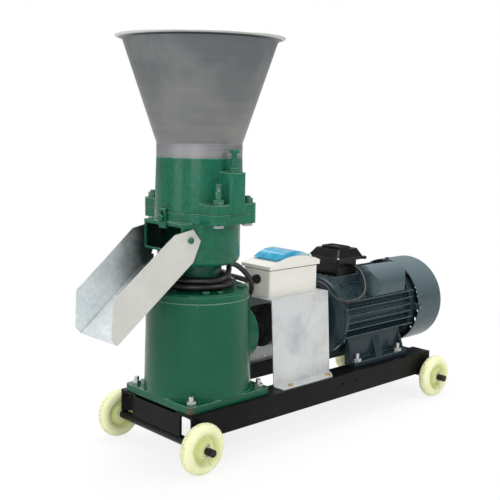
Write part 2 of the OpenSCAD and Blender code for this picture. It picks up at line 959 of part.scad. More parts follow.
module gearbox_cover() {
  color("#2f7a5c")
    placed()
      difference() {
        union() {
          translate([0, 0, gearbox_joint])
            cylinder(h = cover_thickness - cover_chamfer, r = cover_radius);
          translate([0, 0, cover_top - cover_chamfer])
            cylinder(h = cover_chamfer, r1 = cover_radius, r2 = cover_radius - cover_chamfer);
          translate([0, 0, gearbox_joint - cover_spigot])
            cylinder(h = cover_spigot + over, r = rim_bore_radius - running_fit);
        }
        translate([0, 0, gearbox_joint - cover_spigot - over])
          cylinder(h = cover_thickness + cover_spigot + 2 * over, r = spindle_diameter / 2 + spindle_play);
        for (i = [0 : cover_bolt_count - 1])
          rotate([0, 0, cover_bolt_start + i * 360 / cover_bolt_count])
            translate([cover_bolt_circle, 0, gearbox_joint - over])
              cylinder(h = cover_thickness + 2 * over, r = m8[0] / 2 + bolt_play);
        rotate([0, 0, oil_plug_angle])
          translate([cover_bolt_circle, 0, gearbox_joint - over])
            cylinder(h = cover_thickness + 2 * over, r = m6[0] / 2 + fit_gap);
      }
}

cover_chamfer = 4;

// Bolts of the gearbox cover, with the oil filler plug and the level plug
module cover_bolts() {
  color("#3b8a68")
    placed() {
      for (i = [0 : cover_bolt_count - 1])
        rotate([0, 0, cover_bolt_start + i * 360 / cover_bolt_count])
          translate([cover_bolt_circle, 0, cover_top])
            bolt(m8, cover_thickness + cover_bolt_depth - cover_bolt_tip);
      rotate([0, 0, oil_plug_angle])
        translate([cover_bolt_circle, 0, cover_top])
          bolt(m6, cover_thickness);
      rotate([0, 0, level_plug_angle])
        translate([gearbox_top_radius - level_plug_depth, 0, gearbox_joint - level_plug_drop])
          rotate([0, 90, 0])
            cylinder(h = 2 * level_plug_depth, r = level_plug_radius - fit_gap);
    }
}

// Bolts through the gearbox foot and the rails, with their nuts
module base_bolts() {
  color("#a9adb0")
    placed()
      for (x = [-foot_bolt_offset, foot_bolt_offset], y = [-foot_bolt_offset, foot_bolt_offset])
        translate([x, y, 0]) {
          for (z = [foot_top, rail_top - rail_wall - m10[2]])
            translate([0, 0, z])
              hex(m10, m10[2]);
          translate([0, 0, rail_top - rail_wall - over])
            cylinder(h = rail_wall + over + foot_thickness + m10[2] + base_stud_tail, r = m10[0] / 2);
        }
}

base_stud_tail = 9;

module input_cap() {
  color("#2f7a5c")
    placed()
      translate([0, 0, drive_z])
        difference() {
          union() {
            rod_x(cap_radius, boss_face, boss_face + cap_thickness);
            for (i = [0 : 3])
              rotate([45 + i * 90, 0, 0])
                translate([boss_face + cap_thickness, 0, cap_radius - cap_bolt_inset])
                  rotate([0, 90, 0])
                    hex(m6, m6[2]);
          }
          rod_x(pinion_shaft_diameter / 2 + running_fit, boss_face - over,
            boss_face + cap_thickness + over);
        }
}

// Ring that stands for a ball bearing, with its two races grooved apart on both faces
module bearing(outer, bore, width) {
  middle = (outer / 2 + bore / 2) / 2;
  rotate_extrude()
    difference() {
      translate([bore / 2 + running_fit, 0])
        square([outer / 2 - bore / 2 - running_fit, width]);
      for (z = [-over, width - race_groove])
        translate([middle - groove_share * (outer - bore) / 2, z])
          square([groove_share * (outer - bore), race_groove + over]);
    }
}

module bearings() {
  color("#9a9da0")
    placed() {
      translate([0, 0, lower_bearing_z])
        bearing(lower_bearing_diameter, lower_journal, lower_bearing_width);
      for (i = [0, 1])
        translate([pinion_bore_start + i * pinion_bearing_width, 0, drive_z])
          rotate([0, 90, 0])
            bearing(pinion_bearing_diameter, pinion_shaft_diameter, pinion_bearing_width);
      for (i = [0, 1])
        translate([0, 0, cover_top + bearing_cover + i * spindle_bearing_width])
          bearing(spindle_bearing_diameter, spindle_diameter, spindle_bearing_width);
    }
}

// Involute of a base circle, at the roll angle a in degrees
function involute(base, a) =
  base * [cos(a) + PI * a / 180 * sin(a), sin(a) - PI * a / 180 * cos(a)];

// Point turned about the origin by a degrees
function turned(p, a) = [p[0] * cos(a) - p[1] * sin(a), p[0] * sin(a) + p[1] * cos(a)];

// Roll angle at which an involute reaches a radius
function roll(base, radius) = sqrt(max(0, radius * radius / (base * base) - 1)) * 180 / PI;

// Half the angle of a pinion tooth at its pitch circle, in degrees
pinion_shift_share = (pinion_addendum_share - gear_addendum_share) / 2;
tooth_share = PI / 2 + 2 * pinion_shift_share * tan(pressure_angle);
pinion_half_tooth = (gear_module * tooth_share - backlash / 2) / 2 / pinion_pitch_radius * 180 / PI;
pinion_base = pinion_pitch_radius * cos(pressure_angle);
pinion_tip = pinion_pitch_radius + pinion_addendum_share * gear_module;
pinion_root = pinion_pitch_radius - (gear_addendum_share + root_clearance_share) * gear_module;
flank_steps = 6;

// Outline of one pinion tooth about the +X axis
function tooth_outline() =
  let(
    end = roll(pinion_base, pinion_tip),
    pitch_roll = roll(pinion_base, pinion_pitch_radius),
    at_pitch = involute(pinion_base, pitch_roll),
    lean = pinion_half_tooth + atan2(at_pitch[1], at_pitch[0]),
    flank = [for (i = [0 : flank_steps]) turned(involute(pinion_base, end * i / flank_steps), -lean)]
  )
  concat(
    [turned([pinion_root - over, 0], -lean)],
    flank,
    [for (i = [flank_steps : -1 : 0]) [flank[i][0], -flank[i][1]]],
    [turned([pinion_root - over, 0], lean)]
  );

// Bevel pinion, tapered towards the point where both axes meet, in one piece with its shaft
module pinion_shaft() {
  face = gear_pitch_radius * face_width_share;
  color("#8f9396")
    placed()
      translate([0, 0, drive_z]) {
        translate([gear_pitch_radius, 0, 0])
          rotate([0, -90, 0])
            linear_extrude(height = face, scale = taper_share)
              union() {
                circle(pinion_root, $fn = 40);
                for (i = [0 : pinion_teeth - 1])
                  rotate([0, 0, 180 + i * 360 / pinion_teeth])
                    polygon(tooth_outline());
              }
        rod_x(pinion_shaft_diameter / 2, gear_pitch_radius, pinion_shaft_end);
      }
}

gear_tip_height = gear_addendum_share * gear_module;
gear_root_depth = (pinion_addendum_share + root_clearance_share) * gear_module;
gear_half_tooth = (gear_module * (PI - tooth_share) - backlash / 2) / 2;

// Heights and half widths along one tooth pitch of the bevel gear: gap, flank, land, flank
function gear_station(k) =
  let(
    i = floor(k / 4),
    part = k % 4,
    pitch = 360 / gear_teeth,
    land = (gear_half_tooth - gear_tip_height * tan(pressure_angle)) / gear_pitch_radius * 180 / PI,
    foot = (gear_half_tooth + gear_root_depth * tan(pressure_angle)) / gear_pitch_radius * 180 / PI,
    angle = (i + 0.5) * pitch + (part == 0 ? -foot : part == 1 ? -land : part == 2 ? land : foot),
    height = part == 1 || part == 2 ? gear_tip_height : -gear_root_depth
  )
  [angle, height];

// One ring of points through the gear: small end, large end, and the back under each
function gear_ring(k) =
  let(
    s = gear_station(k),
    ray = [cos(s[0]), sin(s[0])],
    large = gear_pitch_radius,
    small = gear_pitch_radius * taper_share,
    z = s[1] - pinion_pitch_radius
  )
  [
    [ray[0] * small, ray[1] * small, z * taper_share],
    [ray[0] * large, ray[1] * large, z],
    [ray[0] * large, ray[1] * large, gear_bottom - drive_z],
    [ray[0] * small, ray[1] * small, gear_bottom - drive_z]
  ];

// Toothed ring of the bevel gear, its teeth tapered towards the point where both axes meet
module gear_teeth_ring() {
  count = 4 * gear_teeth;
  points = [for (k = [0 : count - 1]) each gear_ring(k)];
  faces = [
    for (k = [0 : count - 1], j = [0 : 3])
      let(
        a = 4 * k + j,
        b = 4 * k + (j + 1) % 4,
        c = 4 * ((k + 1) % count) + (j + 1) % 4,
        d = 4 * ((k + 1) % count) + j
      )
      each [[a, c, b], [a, d, c]]
  ];
  polyhedron(points, faces);
}

module bevel_gear() {
  small = gear_pitch_radius * taper_share;
  color("#8f9396")
    placed()
      translate([0, 0, drive_z]) {
        gear_teeth_ring();
        translate([0, 0, gear_bottom - drive_z])
          difference() {
            union() {
              cylinder(h = gear_web, r = small + over);
              cylinder(h = gear_hub_height, r = gear_hub_radius);
            }
            translate([0, 0, -over])
              cylinder(h = gear_hub_height + 2 * over, r = spindle_diameter / 2 + fit_gap);
          }
      }
}

// Spindle with the collar that the die rests on and the journal and thread at its ends
module main_shaft() {
  color("#9a9da0")
    placed() {
      translate([0, 0, lower_bearing_z])
        cylinder(h = lower_bearing_width + over, r = lower_journal / 2);
      translate([0, 0, lower_bearing_z + lower_bearing_width])
        cylinder(h = die_bottom - lower_bearing_z - lower_bearing_width, r = spindle_diameter / 2);
      translate([0, 0, die_bottom - collar_thickness])
        cylinder(h = collar_thickness, r = collar_width);
      translate([0, 0, die_bottom - over])
        cylinder(h = spindle_tip - die_bottom + over, r = spindle_tip_radius);
      translate([0, 0, gear_bottom - spacer_length])
        cylinder(h = spacer_length, r = spindle_diameter / 2 + spacer_wall);
    }
}

// Pelleting head

// Two pads on opposite sides, with round corners, as one outline through the tower's axis
module pad_outline(reach_x, reach_y, corner) {
  rounded_rect(-reach_x, reach_x, -reach_y, reach_y, corner);
}

// Disc with its lower edge rounded
module round_bottomed(r, h, corner) {
  rotate_extrude()
    union() {
      square([r - corner, h]);
      translate([0, corner])
        square([r, h - corner]);
      translate([r - corner, corner])
        circle(corner);
    }
}

module duct_body() {
  translate([-duct_mouth, -duct_half_width, duct_bottom])
    cube([duct_mouth - duct_root, 2 * duct_half_width, flange_bottom - duct_bottom + over]);
  for (side = [-1, 1])
    translate([pivot_x, 0, pivot_z])
      rod_y(pivot_radius + pivot_pad_wall, side < 0 ? -pivot_pad_end : duct_half_width - over,
        side < 0 ? over - duct_half_width : pivot_pad_end);
}

module pad_bolt_holes() {
  for (x = [-pad_bolt_x, pad_bolt_x], y = [-pad_bolt_y, pad_bolt_y])
    translate([x, y, flange_bottom - over])
      cylinder(h = lower_flange + upper_flange + 2 * over, r = m12[0] / 2 + bolt_play);
}

module discharge_housing() {
  color("#2f7a5c")
    placed()
      difference() {
        union() {
          translate([0, 0, cover_top])
            cylinder(h = neck_height + housing_corner, r = neck_radius);
          translate([0, 0, neck_top])
            round_bottomed(housing_radius, housing_height, housing_corner);
          translate([0, 0, flange_bottom])
            cylinder(h = lower_flange, r = flange_radius);
          translate([0, 0, flange_bottom])
            linear_extrude(lower_flange)
              pad_outline(pad_reach_x, pad_reach_y, pad_corner);
          duct_body();
        }
        translate([0, 0, cavity_bottom])
          cylinder(h = housing_height, r = cavity_radius);
        translate([-duct_mouth - over, duct_wall - duct_half_width, duct_bottom + duct_wall])
          cube([duct_mouth, 2 * (duct_half_width - duct_wall),
            flange_bottom - duct_bottom - 2 * duct_wall - duct_roof]);
        translate([0, 0, cover_top - over])
          cylinder(h = bearing_cover + 2 * spindle_bearing_width + over,
            r = spindle_bearing_diameter / 2 + fit_gap);
        translate([0, 0, cover_top])
          cylinder(h = housing_height, r = spindle_diameter / 2 + spindle_clearance);
        pad_bolt_holes();
        for (side = [-1, 1])
          translate([pivot_x, 0, pivot_z])
            rod_y(pivot_radius - pivot_shoulder, side < 0 ? -pivot_pad_end - over : duct_half_width - duct_wall - over,
              side < 0 ? duct_wall - duct_half_width + over : pivot_pad_end + over);
        translate([0, cutter_middle, cutter_bolt_z])
          rod_x(m8[0] / 2 + fit_gap, -flange_radius - over, -cavity_radius - cutter_hole_inset);
      }
}

// Upper half of the head, with the pads that bolt down and the lugs for the adjusting screws
module upper_chamber() {
  half_slot = roller_shaft_diameter / 2 + running_fit;
  color("#2f7a5c")
    placed()
      difference() {
        union() {
          translate([0, 0, housing_top])
            cylinder(h = chamber_height, r1 = chamber_bottom_radius, r2 = chamber_top_radius);
          translate([0, 0, housing_top])
            linear_extrude(upper_flange)
              pad_outline(pad_reach_x, pad_reach_y, pad_corner);
          translate([0, 0, housing_top])
            linear_extrude(lug_height)
              pad_outline(lug_half_width, lug_reach, lug_corner);
        }
        translate([0, 0, housing_top - over])
          cylinder(h = chamber_height + 2 * over, r = chamber_bore_radius);
        translate([-half_slot, -shaft_end - seat_gap, roller_z - half_slot])
          cube([2 * half_slot, 2 * (shaft_end + seat_gap), slot_top - roller_z + half_slot]);
        pad_bolt_holes();
        for (side = [-1, 1])
          translate([0, side * screw_y, roller_z])
            cylinder(h = lug_top - roller_z + over, r = screw_diameter / 2 + running_fit);
      }
}

// Studs and nuts of the flange pads; the near left stud stands higher than the others
module flange_bolts() {
  color("#b9bcbf")
    placed()
      for (x = [-pad_bolt_x, pad_bolt_x], y = [-pad_bolt_y, pad_bolt_y])
        translate([x, y, 0]) {
          tail = x < 0 && y < 0 ? flange_tail_shares[0] * m12[2] : flange_tail_shares[1] * m12[2];
          translate([0, 0, flange_bottom - over])
            cylinder(h = lower_flange + upper_flange + over + tail, r = m12[0] / 2);
          translate([0, 0, flange_bottom - flange_bolt_head])
            hex(m12, flange_bolt_head);
          translate([0, 0, housing_top + upper_flange])
            hex(m12, m12[2]);
        }
}

flange_bolt_head = 5.5;

module lock_nuts() {
  color("#2f7a5c")
    placed()
      for (side = [-1, 1])
        translate([0, side * screw_y, lug_top])
          difference() {
            union() {
              cylinder(h = lock_washer, r = screw_diameter);
              translate([0, 0, lock_washer])
                hex(m10, m10[2]);
            }
            translate([0, 0, -over])
              cylinder(h = lock_washer + m10[2] + 2 * over, r = screw_diameter / 2 + running_fit);
          }
}

module adjusting_screws() {
  color("#2f7a5c")
    placed()
      for (side = [-1, 1])
        translate([0, side * screw_y, 0]) {
          translate([0, 0, roller_z + roller_shaft_diameter / 2])
            cylinder(h = screw_head_z - roller_z - roller_shaft_diameter / 2 + over,
              r = screw_diameter / 2);
          translate([0, 0, screw_head_z])
            hex(m10, m10[2]);
        }
}

// Shaft of both rollers, flat on top where the screws press on it
module roller_shaft() {
  r = roller_shaft_diameter / 2;
  color("#9a9da0")
    placed()
      translate([0, 0, roller_z])
        union() {
          rod_y(r, -shaft_end, shaft_end);
          rod_y(r + roller_shoulder, -roller_inner + seat_gap, roller_inner - seat_gap);
          both_sides()
            translate([-r, chamber_bore_radius + shaft_flat_gap, 0])
              cube([2 * r, shaft_end - chamber_bore_radius - shaft_flat_gap, r]);
        }
}

// Press roller with grooves along its face
module roller() {
  color("#85898c")
    placed()
      translate([0, 0, roller_z])
        difference() {
          rod_y(roller_radius, roller_inner, roller_outer);
          rod_y(roller_bore, roller_inner - over, roller_outer + over);
          for (i = [0 : roller_grooves - 1])
            rotate([0, (i + 0.5) * 360 / roller_grooves, 0])
              translate([0, 0, roller_radius])
                rod_y(roller_groove, roller_inner - over, roller_outer + over, $fn = 24);
        }
}
roller_groove = 2.5;

module roller_far() {
  roller();
}

module roller_near() {
  mirror([0, 1, 0])
    roller();
}

module die_plate() {
  color("#85898c")
    placed()
      translate([0, 0, die_bottom])
        difference() {
          cylinder(h = die_thickness, r = die_diameter / 2);
          translate([0, 0, -over])
            cylinder(h = die_thickness + 2 * over, r = spindle_tip_radius + fit_gap);
          for (ring = [0 : die_rings - 1], i = [0 : die_first_count + ring * die_count_step - 1])
            rotate([0, 0, i * 360 / (die_first_count + ring * die_count_step)])
              translate([die_first_ring + ring * die_ring_pitch, 0, -over])
                cylinder(h = die_thickness + 2 * over, r = die_hole / 2, $fn = 24);
        }
}
die_first_ring = 36;
die_ring_pitch = 11;
die_first_count = 18;
die_count_step = 6;

module die_nut() {
  color("#9a9da0")
    placed()
      translate([0, 0, die_top])
        difference() {
          cylinder(h = nut_height, r = die_nut_flats / sqrt(3), $fn = 6);
          translate([0, 0, -over])
            cylinder(h = nut_height + 2 * over, r = spindle_tip_radius + fit_gap);
        }
}

// Disc under the die with upright vanes that sweep the pellets into the duct
module thrower_disc() {
  color("#85898c")
    placed()
      translate([0, 0, thrower_z])
        difference() {
          union() {
            cylinder(h = thrower_thickness, r = thrower_radius);
            cylinder(h = thrower_thickness + thrower_vane + thrower_hub_proud, r = spindle_diameter / 2 + thrower_hub_wall);
            for (i = [0 : thrower_vanes - 1])
              rotate([0, 0, 45 + i * 360 / thrower_vanes])
                translate([0, -vane_thickness / 2, 0])
                  cube([thrower_radius - vane_inset, vane_thickness, thrower_thickness + thrower_vane]);
          }
          translate([0, 0, -over])
            cylinder(h = thrower_thickness + thrower_vane + 4 * over, r = spindle_diameter / 2 + fit_gap);
        }
}

// Slotted strap on the flange, with the knife that reaches under the die
module cutter_blade() {
  half = cutter_width / 2;
  slot = m8[0] / 2 + running_fit;
  color("#9a9da0")
    placed()
      translate([-cutter_inner, cutter_middle, 0])
        difference() {
          union() {
            translate([-cutter_thickness, -half, cutter_foot_z])
              cube([cutter_thickness, cutter_width, cutter_top - cutter_foot_z]);
            translate([-cutter_thickness, -half, cutter_foot_z])
              cube([cutter_reach + cutter_thickness, cutter_width, cutter_thickness]);
          }
          translate([0, 0, cutter_bolt_z])
            rod_x(slot, -cutter_thickness - over, over);
          translate([0, 0, cutter_bolt_z + cutter_travel])
            rod_x(slot, -cutter_thickness - over, over);
          translate([-cutter_thickness - over, -slot, cutter_bolt_z])
            cube([cutter_thickness + 2 * over, 2 * slot, cutter_travel]);
        }
}

// Pivot screws of the chute, and the bolt that clamps the cutter's slotted strap
module chute_screws() {
  color("#b9bcbf")
    placed() {
      both_sides()
        translate([pivot_x, 0, pivot_z]) {
          rod_y(pivot_radius - pivot_shoulder - fit_gap, duct_half_width - duct_wall + pivot_inset, chute_screw_end);
          rod_y(pivot_radius + chute_head_rim, chute_screw_end - chute_head, chute_screw_end);
        }
      translate([0, cutter_middle, cutter_bolt_z]) {
        rod_x(m8[0] / 2, -cutter_bolt_end, -cavity_radius - cutter_thread_inset);
        translate([-cutter_bolt_end, 0, 0])
          rotate([0, 90, 0])
            hex(m8, m8[2]);
      }
    }
}
chute_screw_end = pivot_pad_end + chute_sheet + 2 * chute_side_gap + chute_head;
cutter_bolt_end = cutter_inner + cutter_thickness + seat_gap + m8[2];

// Chute

// Place along a cheek's sheet of a place along the floor, counted from the ears
function along(u) = (u + ear_length) / cos(chute_taper);

// Outline of a cheek, from its ear to the tip of the floor
module cheek_outline() {
  polygon([
    [along(0), 0],
    [along(chute_length), 0],
    [along(chute_length + cheek_overhang), cheek_tip_height],
    [along(chute_length + cheek_overhang - cheek_corner), cheek_height],
    [along(0), cheek_height],
    [along(-ear_length), ear_top],
    [along(-ear_length), ear_root]
  ]);
}

// Open trough that hangs on the two pivot screws, its floor cut to clear the housing
module chute() {
  color("#c9ccca")
    placed()
      difference() {
        translate([pivot_x, 0, pivot_z])
          rotate([0, -chute_slope, 0])
            difference() {
              translate([pivot_u, 0, -pivot_w]) {
                both_sides()
                  translate([ear_length, chute_ear_half_width, 0])
                    rotate([90, 0, 180 + chute_taper])
                      translate([0, 0, -chute_sheet])
                        mirror([0, 0, 1])
                          translate([0, 0, -chute_sheet])
                            linear_extrude(chute_sheet)
                              cheek_outline();
                linear_extrude(chute_sheet)
                  polygon([
                    [0, -chute_floor_half],
                    [0, chute_floor_half],
                    [-chute_length, chute_tip_half_width - chute_sheet / 2],
                    [-chute_length, chute_sheet / 2 - chute_tip_half_width]
                  ]);
              }
              rod_y(pivot_radius - pivot_shoulder + running_fit, -chute_ear_half_width - over,
                chute_ear_half_width + over);
            }
        translate([0, 0, neck_top - over])
          intersection() {
            cylinder(h = housing_height, r = chute_relief);
            translate([-chute_relief, -duct_half_width, 0])
              cube([chute_relief, 2 * duct_half_width, housing_height]);
          }
      }
}
chute_floor_half = chute_ear_half_width - chute_sheet / 2 - ear_length * tan(chute_taper);

// Hopper of rolled sheet: a straight collar, a cone and a flared lip with a turned edge
module hopper() {
  color("#8d9192")
    placed()
      rotate_extrude()
        union() {
          polygon([
            [collar_radius - hopper_sheet, chamber_top],
            [collar_radius, chamber_top],
            [collar_radius, collar_top],
            [cone_radius, cone_top],
            [lip_radius, cone_top + lip_height],
            [lip_radius - hopper_sheet, cone_top + lip_height + hopper_sheet],
            [cone_radius - hopper_sheet, cone_top + hopper_sheet / 2],
            [collar_radius - hopper_sheet, collar_top + hopper_sheet / 4]
          ]);
          translate([lip_radius - hopper_sheet / 2, cone_top + lip_height + hopper_sheet / 2])
            circle(hopper_sheet);
        }
}

// Motor

// Side plates, walls and webs of the motor's feet
module motor_feet() {
  both_sides() {
    translate([0, 0, rail_top])
      linear_extrude(feet_thickness)
        rounded_rect(foot_front, foot_rear, foot_wall - foot_wall_thickness, feet_reach, foot_plate_corner);
    translate([foot_front, foot_wall - foot_wall_thickness, rail_top])
      cube([foot_rear - foot_front, foot_wall_thickness, drive_z - foot_wall_drop - rail_top]);
    for (web = foot_webs)
      translate([web[0], 0, 0])
        rotate([90, 0, 90])
          linear_extrude(web[1])
            polygon([
              [foot_wall - foot_wall_thickness, rail_top],
              [motor_bolt_y - web_inset, rail_top],
              [motor_bolt_y - web_inset, rail_top + feet_thickness],
              [foot_wall - foot_wall_thickness / 2, drive_z - foot_wall_drop],
              [foot_wall - foot_wall_thickness, drive_z - foot_wall_drop]
            ]);
  }
}
foot_wall_thickness = 8;
foot_wall_drop = 47;
foot_plate_corner = 4;
foot_webs = [
  [foot_front, foot_web], [foot_front + foot_rib_inset, foot_rib], [foot_rear - foot_web, foot_web]
];

module motor_frame() {
  color("#3e565f")
    placed()
      difference() {
        union() {
          translate([0, 0, drive_z]) {
            rod_x(frame_radius, motor_front, frame_end);
            rod_x(ring_radius, motor_front, motor_front + ring_length);
            rod_x(ring_radius, frame_end - ring_length, frame_end);
            for (i = [0 : fin_count - 1]) {
              offset_share = i - (fin_count - 1) / 2;
              translate([motor_front, -fin_reach, offset_share * fin_pitch - fin_thickness / 2])
                cube([motor_frame_length, 2 * fin_reach, fin_thickness]);
              translate([motor_front, offset_share * fin_pitch - fin_thickness / 2, -fin_reach])
                cube([motor_frame_length, fin_thickness, 2 * fin_reach]);
            }
          }
          motor_feet();
        }
        translate([0, 0, drive_z])
          rod_x(motor_shaft_diameter / 2 + rotor_play, motor_front - over, frame_end + over);
        translate([terminal_x - fit_gap, -terminal_half_width - fit_gap, terminal_base])
          cube([terminal_length + 2 * fit_gap, 2 * (terminal_half_width + fit_gap), frame_radius]);
        for (x = motor_bolts_x, y = [-motor_bolt_y, motor_bolt_y])
          translate([x, y, rail_top - over])
            cylinder(h = feet_thickness + 2 * over, r = m10[0] / 2 + bolt_play);
        motor_bolt_seats();
      }
}

// Flats on the foot plates that the nuts sit on, clear of the webs and the wall
module motor_bolt_seats() {
  for (x = motor_bolts_x, y = [-motor_bolt_y, motor_bolt_y])
    translate([x, y, rail_top + feet_thickness])
      cylinder(h = bolt_seat_height, r = m10[1] / sqrt(3) + bolt_seat_play);
}

module front_bell() {
  color("#3e565f")
    placed()
      translate([0, 0, drive_z])
        difference() {
          translate([motor_front, 0, 0])
            rotate([0, -90, 0])
              rotate_extrude()
                polygon([
                  [0, 0],
                  [ring_radius - bell_edge, 0],
                  [ring_radius - bell_step, bell_step],
                  [bell_radius - bell_round, motor_front - bell_start - bell_edge],
                  [bell_boss, motor_front - bell_start],
                  [bell_boss, motor_front - bell_start + bell_boss_length],
                  [0, motor_front - bell_start + bell_boss_length]
                ]);
          rod_x(rotor_fit, bell_start - bell_boss_length - over, motor_front + over);
        }
}
bell_boss = 34;
bell_boss_length = 8;

// Rear end bell, with the four ears that the cowl is screwed to
module rear_bell() {
  color("#3e565f")
    placed()
      translate([0, 0, drive_z])
        difference() {
          union() {
            rod_x(ring_radius - bell_edge, frame_end, frame_end + rear_bell_length);
            rod_x(bell_boss, frame_end, frame_end + rear_bell_length + bell_boss_proud);
            for (i = [0 : 3])
              rotate([i * 90, 0, 0])
                translate([frame_end, -ear_half, 0])
                  cube([rear_bell_length, 2 * ear_half, ear_reach]);
          }
          rod_x(rotor_fit, frame_end - over, frame_end + rear_bell_length + bell_boss_proud + over);
          for (i = [0 : 3])
            rotate([i * 90, 0, 0])
              translate([cowl_screw_x, 0, ring_radius - ear_depth])
                cylinder(h = ear_reach, r = m6[0] / 2 + fit_gap);
        }
}
rear_bell_length = 14;
ear_half = 8;
ear_reach = sqrt((cowl_radius - cowl_sheet - cowl_play) ^ 2 - ear_half ^ 2);
cowl_screw_x = frame_end + cowl_screw_inset;

// Fan cowl, open towards the motor and with two rings of slots in its back
module fan_cowl() {
  inner = cowl_radius - cowl_sheet;
  color("#3e565f")
    placed()
      translate([cowl_back, 0, drive_z])
        rotate([0, -90, 0])
          difference() {
            round_bottomed(cowl_radius, cowl_length, cowl_corner);
            translate([0, 0, cowl_sheet])
              round_bottomed(inner, cowl_length, cowl_corner - cowl_sheet);
            for (i = [0 : inner_slots - 1])
              rotate([0, 0, (i + 0.5) * 360 / inner_slots])
                translate([slot_radii[0], -slot_width / 2, -over])
                  cube([slot_radii[1] - slot_radii[0], slot_width, cowl_sheet + 2 * over]);
            for (i = [0 : outer_slots - 1])
              rotate([0, 0, (i + 0.5) * 360 / outer_slots])
                translate([slot_radii[2], -slot_width / 2, -over])
                  cube([slot_radii[3] - slot_radii[2], slot_width, cowl_sheet + 2 * over]);
            for (i = [0 : 3])
              rotate([0, 0, i * 90])
                translate([inner - over, 0, cowl_back - cowl_screw_x])
                  rotate([0, 90, 0])
                    cylinder(h = cowl_sheet + 2 * over, r = m6[0] / 2 + bolt_play);
          }
}
cowl_corner = 14;
inner_slots = 14;
outer_slots = 26;
slot_width = 5;
slot_radii = [22, 50, 56, 84];

module motor_bolts() {
  color("#b9bcbf")
    placed() {
      for (x = motor_bolts_x, y = [-motor_bolt_y, motor_bolt_y])
        translate([x, y, 0]) {
          translate([0, 0, rail_top - rail_wall - m10[2]])
            hex(m10, m10[2]);
          translate([0, 0, rail_top - rail_wall - over])
            cylinder(h = rail_wall + over + feet_thickness + m10[2] + motor_stud_tail, r = m10[0] / 2);
          translate([0, 0, rail_top + feet_thickness])
            hex(m10, m10[2]);
        }
      translate([0, 0, drive_z])
        for (i = [0 : 3])
          rotate([i * 90, 0, 0])
            translate([cowl_screw_x, 0, cowl_radius])
              bolt(m6, cowl_screw_length);
    }
}
motor_stud_tail = 12;

module terminal_box() {
  color("#17181a")
    placed()
      difference() {
        translate([0, 0, terminal_base])
          linear_extrude(terminal_z - terminal_base)
            rounded_rect(terminal_x, terminal_x + terminal_length, -terminal_half_width,
              terminal_half_width, terminal_corner);
        translate([terminal_gland_x, 0, terminal_gland_z])
          rod_y(lead_diameter / 2 + fit_gap, -terminal_half_width - over, terminal_gland_depth
            - terminal_half_width);
      }
}
terminal_corner = 5;
terminal_gland_x = terminal_x + terminal_length - terminal_gland_inset;
terminal_gland_z = terminal_base + terminal_gland_rise;
terminal_gland_depth = 10;

// Lid with a straight rim, sloped sides and a raised panel
module terminal_lid() {
  x0 = terminal_x - terminal_overhang;
  x1 = terminal_x + terminal_length + terminal_overhang;
  y1 = terminal_half_width + terminal_overhang;
  color("#17181a")
    placed() {
      translate([0, 0, terminal_z]) {
        linear_extrude(terminal_rim)
          rounded_rect(x0, x1, -y1, y1, terminal_corner);
        hull() {
          translate([0, 0, terminal_rim])
            linear_extrude(terminal_edge)
              rounded_rect(x0 + lid_step, x1 - lid_step, lid_step - y1, y1 - lid_step, terminal_corner, $fn = 24);
          translate([0, 0, terminal_lid_height - terminal_edge])
            linear_extrude(terminal_edge)
              rounded_rect(x0 + terminal_slopes[0], x1 - terminal_slopes[1],
                terminal_slopes[2] - y1, y1 - terminal_slopes[2], terminal_corner, $fn = 24);
        }
        translate([0, 0, terminal_lid_height - over])
          linear_extrude(terminal_panel + over)
            rounded_rect(x0 + terminal_slopes[0] + terminal_panel_insets[0], x1 - terminal_slopes[1] - terminal_panel_insets[1],
              terminal_slopes[2] + terminal_panel_insets[2] - y1, y1 - terminal_slopes[2] - terminal_panel_insets[2], terminal_corner);
        for (x = [x0, x1], y = [-y1, y1])
          translate([x, y, 0])
            cylinder(h = terminal_rim, r = terminal_ear);
      }
    }
}
terminal_rim = 6;
terminal_ear = 6;
terminal_edge = 0.5;
terminal_panel = 4;
terminal_slopes = [16, 10, 11];

// Capacitor hood on the near shoulder of the motor, with a round side and domed ends
module capacitor_hood() {
  hood_end = hood_start + hood_length;
  outer = hood_middle[0] + hood_round;
  hood_top = hood_middle[1] + hood_round;
  color("#3e565f")
    placed()
      translate([0, 0, drive_z])
        mirror([0, 1, 0])
          difference() {
            intersection() {
              translate([0, hood_middle[0], hood_middle[1]])
                rod_x(hood_round, hood_start - over, hood_end + over);
              translate([hood_start - over, hood_inner, hood_base])
                cube([hood_length + 2 * over, outer, hood_top]);
              linear_extrude(hood_top + over)
                rounded_rect(hood_start, hood_end, hood_inner - hood_corner, outer, hood_corner);
              translate([0, outer + over, 0])
                rotate([90, 0, 0])
                  linear_extrude(outer)
                    rounded_rect(hood_start, hood_end, 0, hood_top, hood_dome);
            }
            rod_x(frame_radius + fit_gap, hood_start - over, hood_end + over);
          }
}
hood_inner = 2.5 * fin_pitch + fin_thickness;
hood_base = 2.5 * fin_pitch + fin_thickness / 2;
hood_middle = [50.5, 64.5];
hood_corner = 24;
hood_dome = 16;

// Drive

// Flange disc and boss on a shaft along X; the boss leads away from the disc in the direction given
module coupling_half(shaft_radius, x, direction) {
  difference() {
    union() {
      rod_x(flange_disc_radius, min(x, x + direction * flange_disc_width),
        max(x, x + direction * flange_disc_width));
      rod_x(coupling_boss_radius, min(x, x + direction * coupling_boss_length),
        max(x, x + direction * coupling_boss_length));
    }
    rod_x(shaft_radius + fit_gap, x - coupling_boss_length - over, x + coupling_boss_length + over);
    for (i = [0 : coupling_pins_count - 1])
      rotate([i * 360 / coupling_pins_count, 0, 0])
        translate([0, 0, coupling_pin_circle])
          rod_x(m8[0] / 2 + fit_gap, x - coupling_boss_length - over, x + coupling_boss_length + over);
  }
}

module pinion_hub() {
  color("#2a2b2d")
    placed()
      translate([0, 0, drive_z])
        coupling_half(pinion_shaft_diameter / 2, coupling_middle, -1);
}

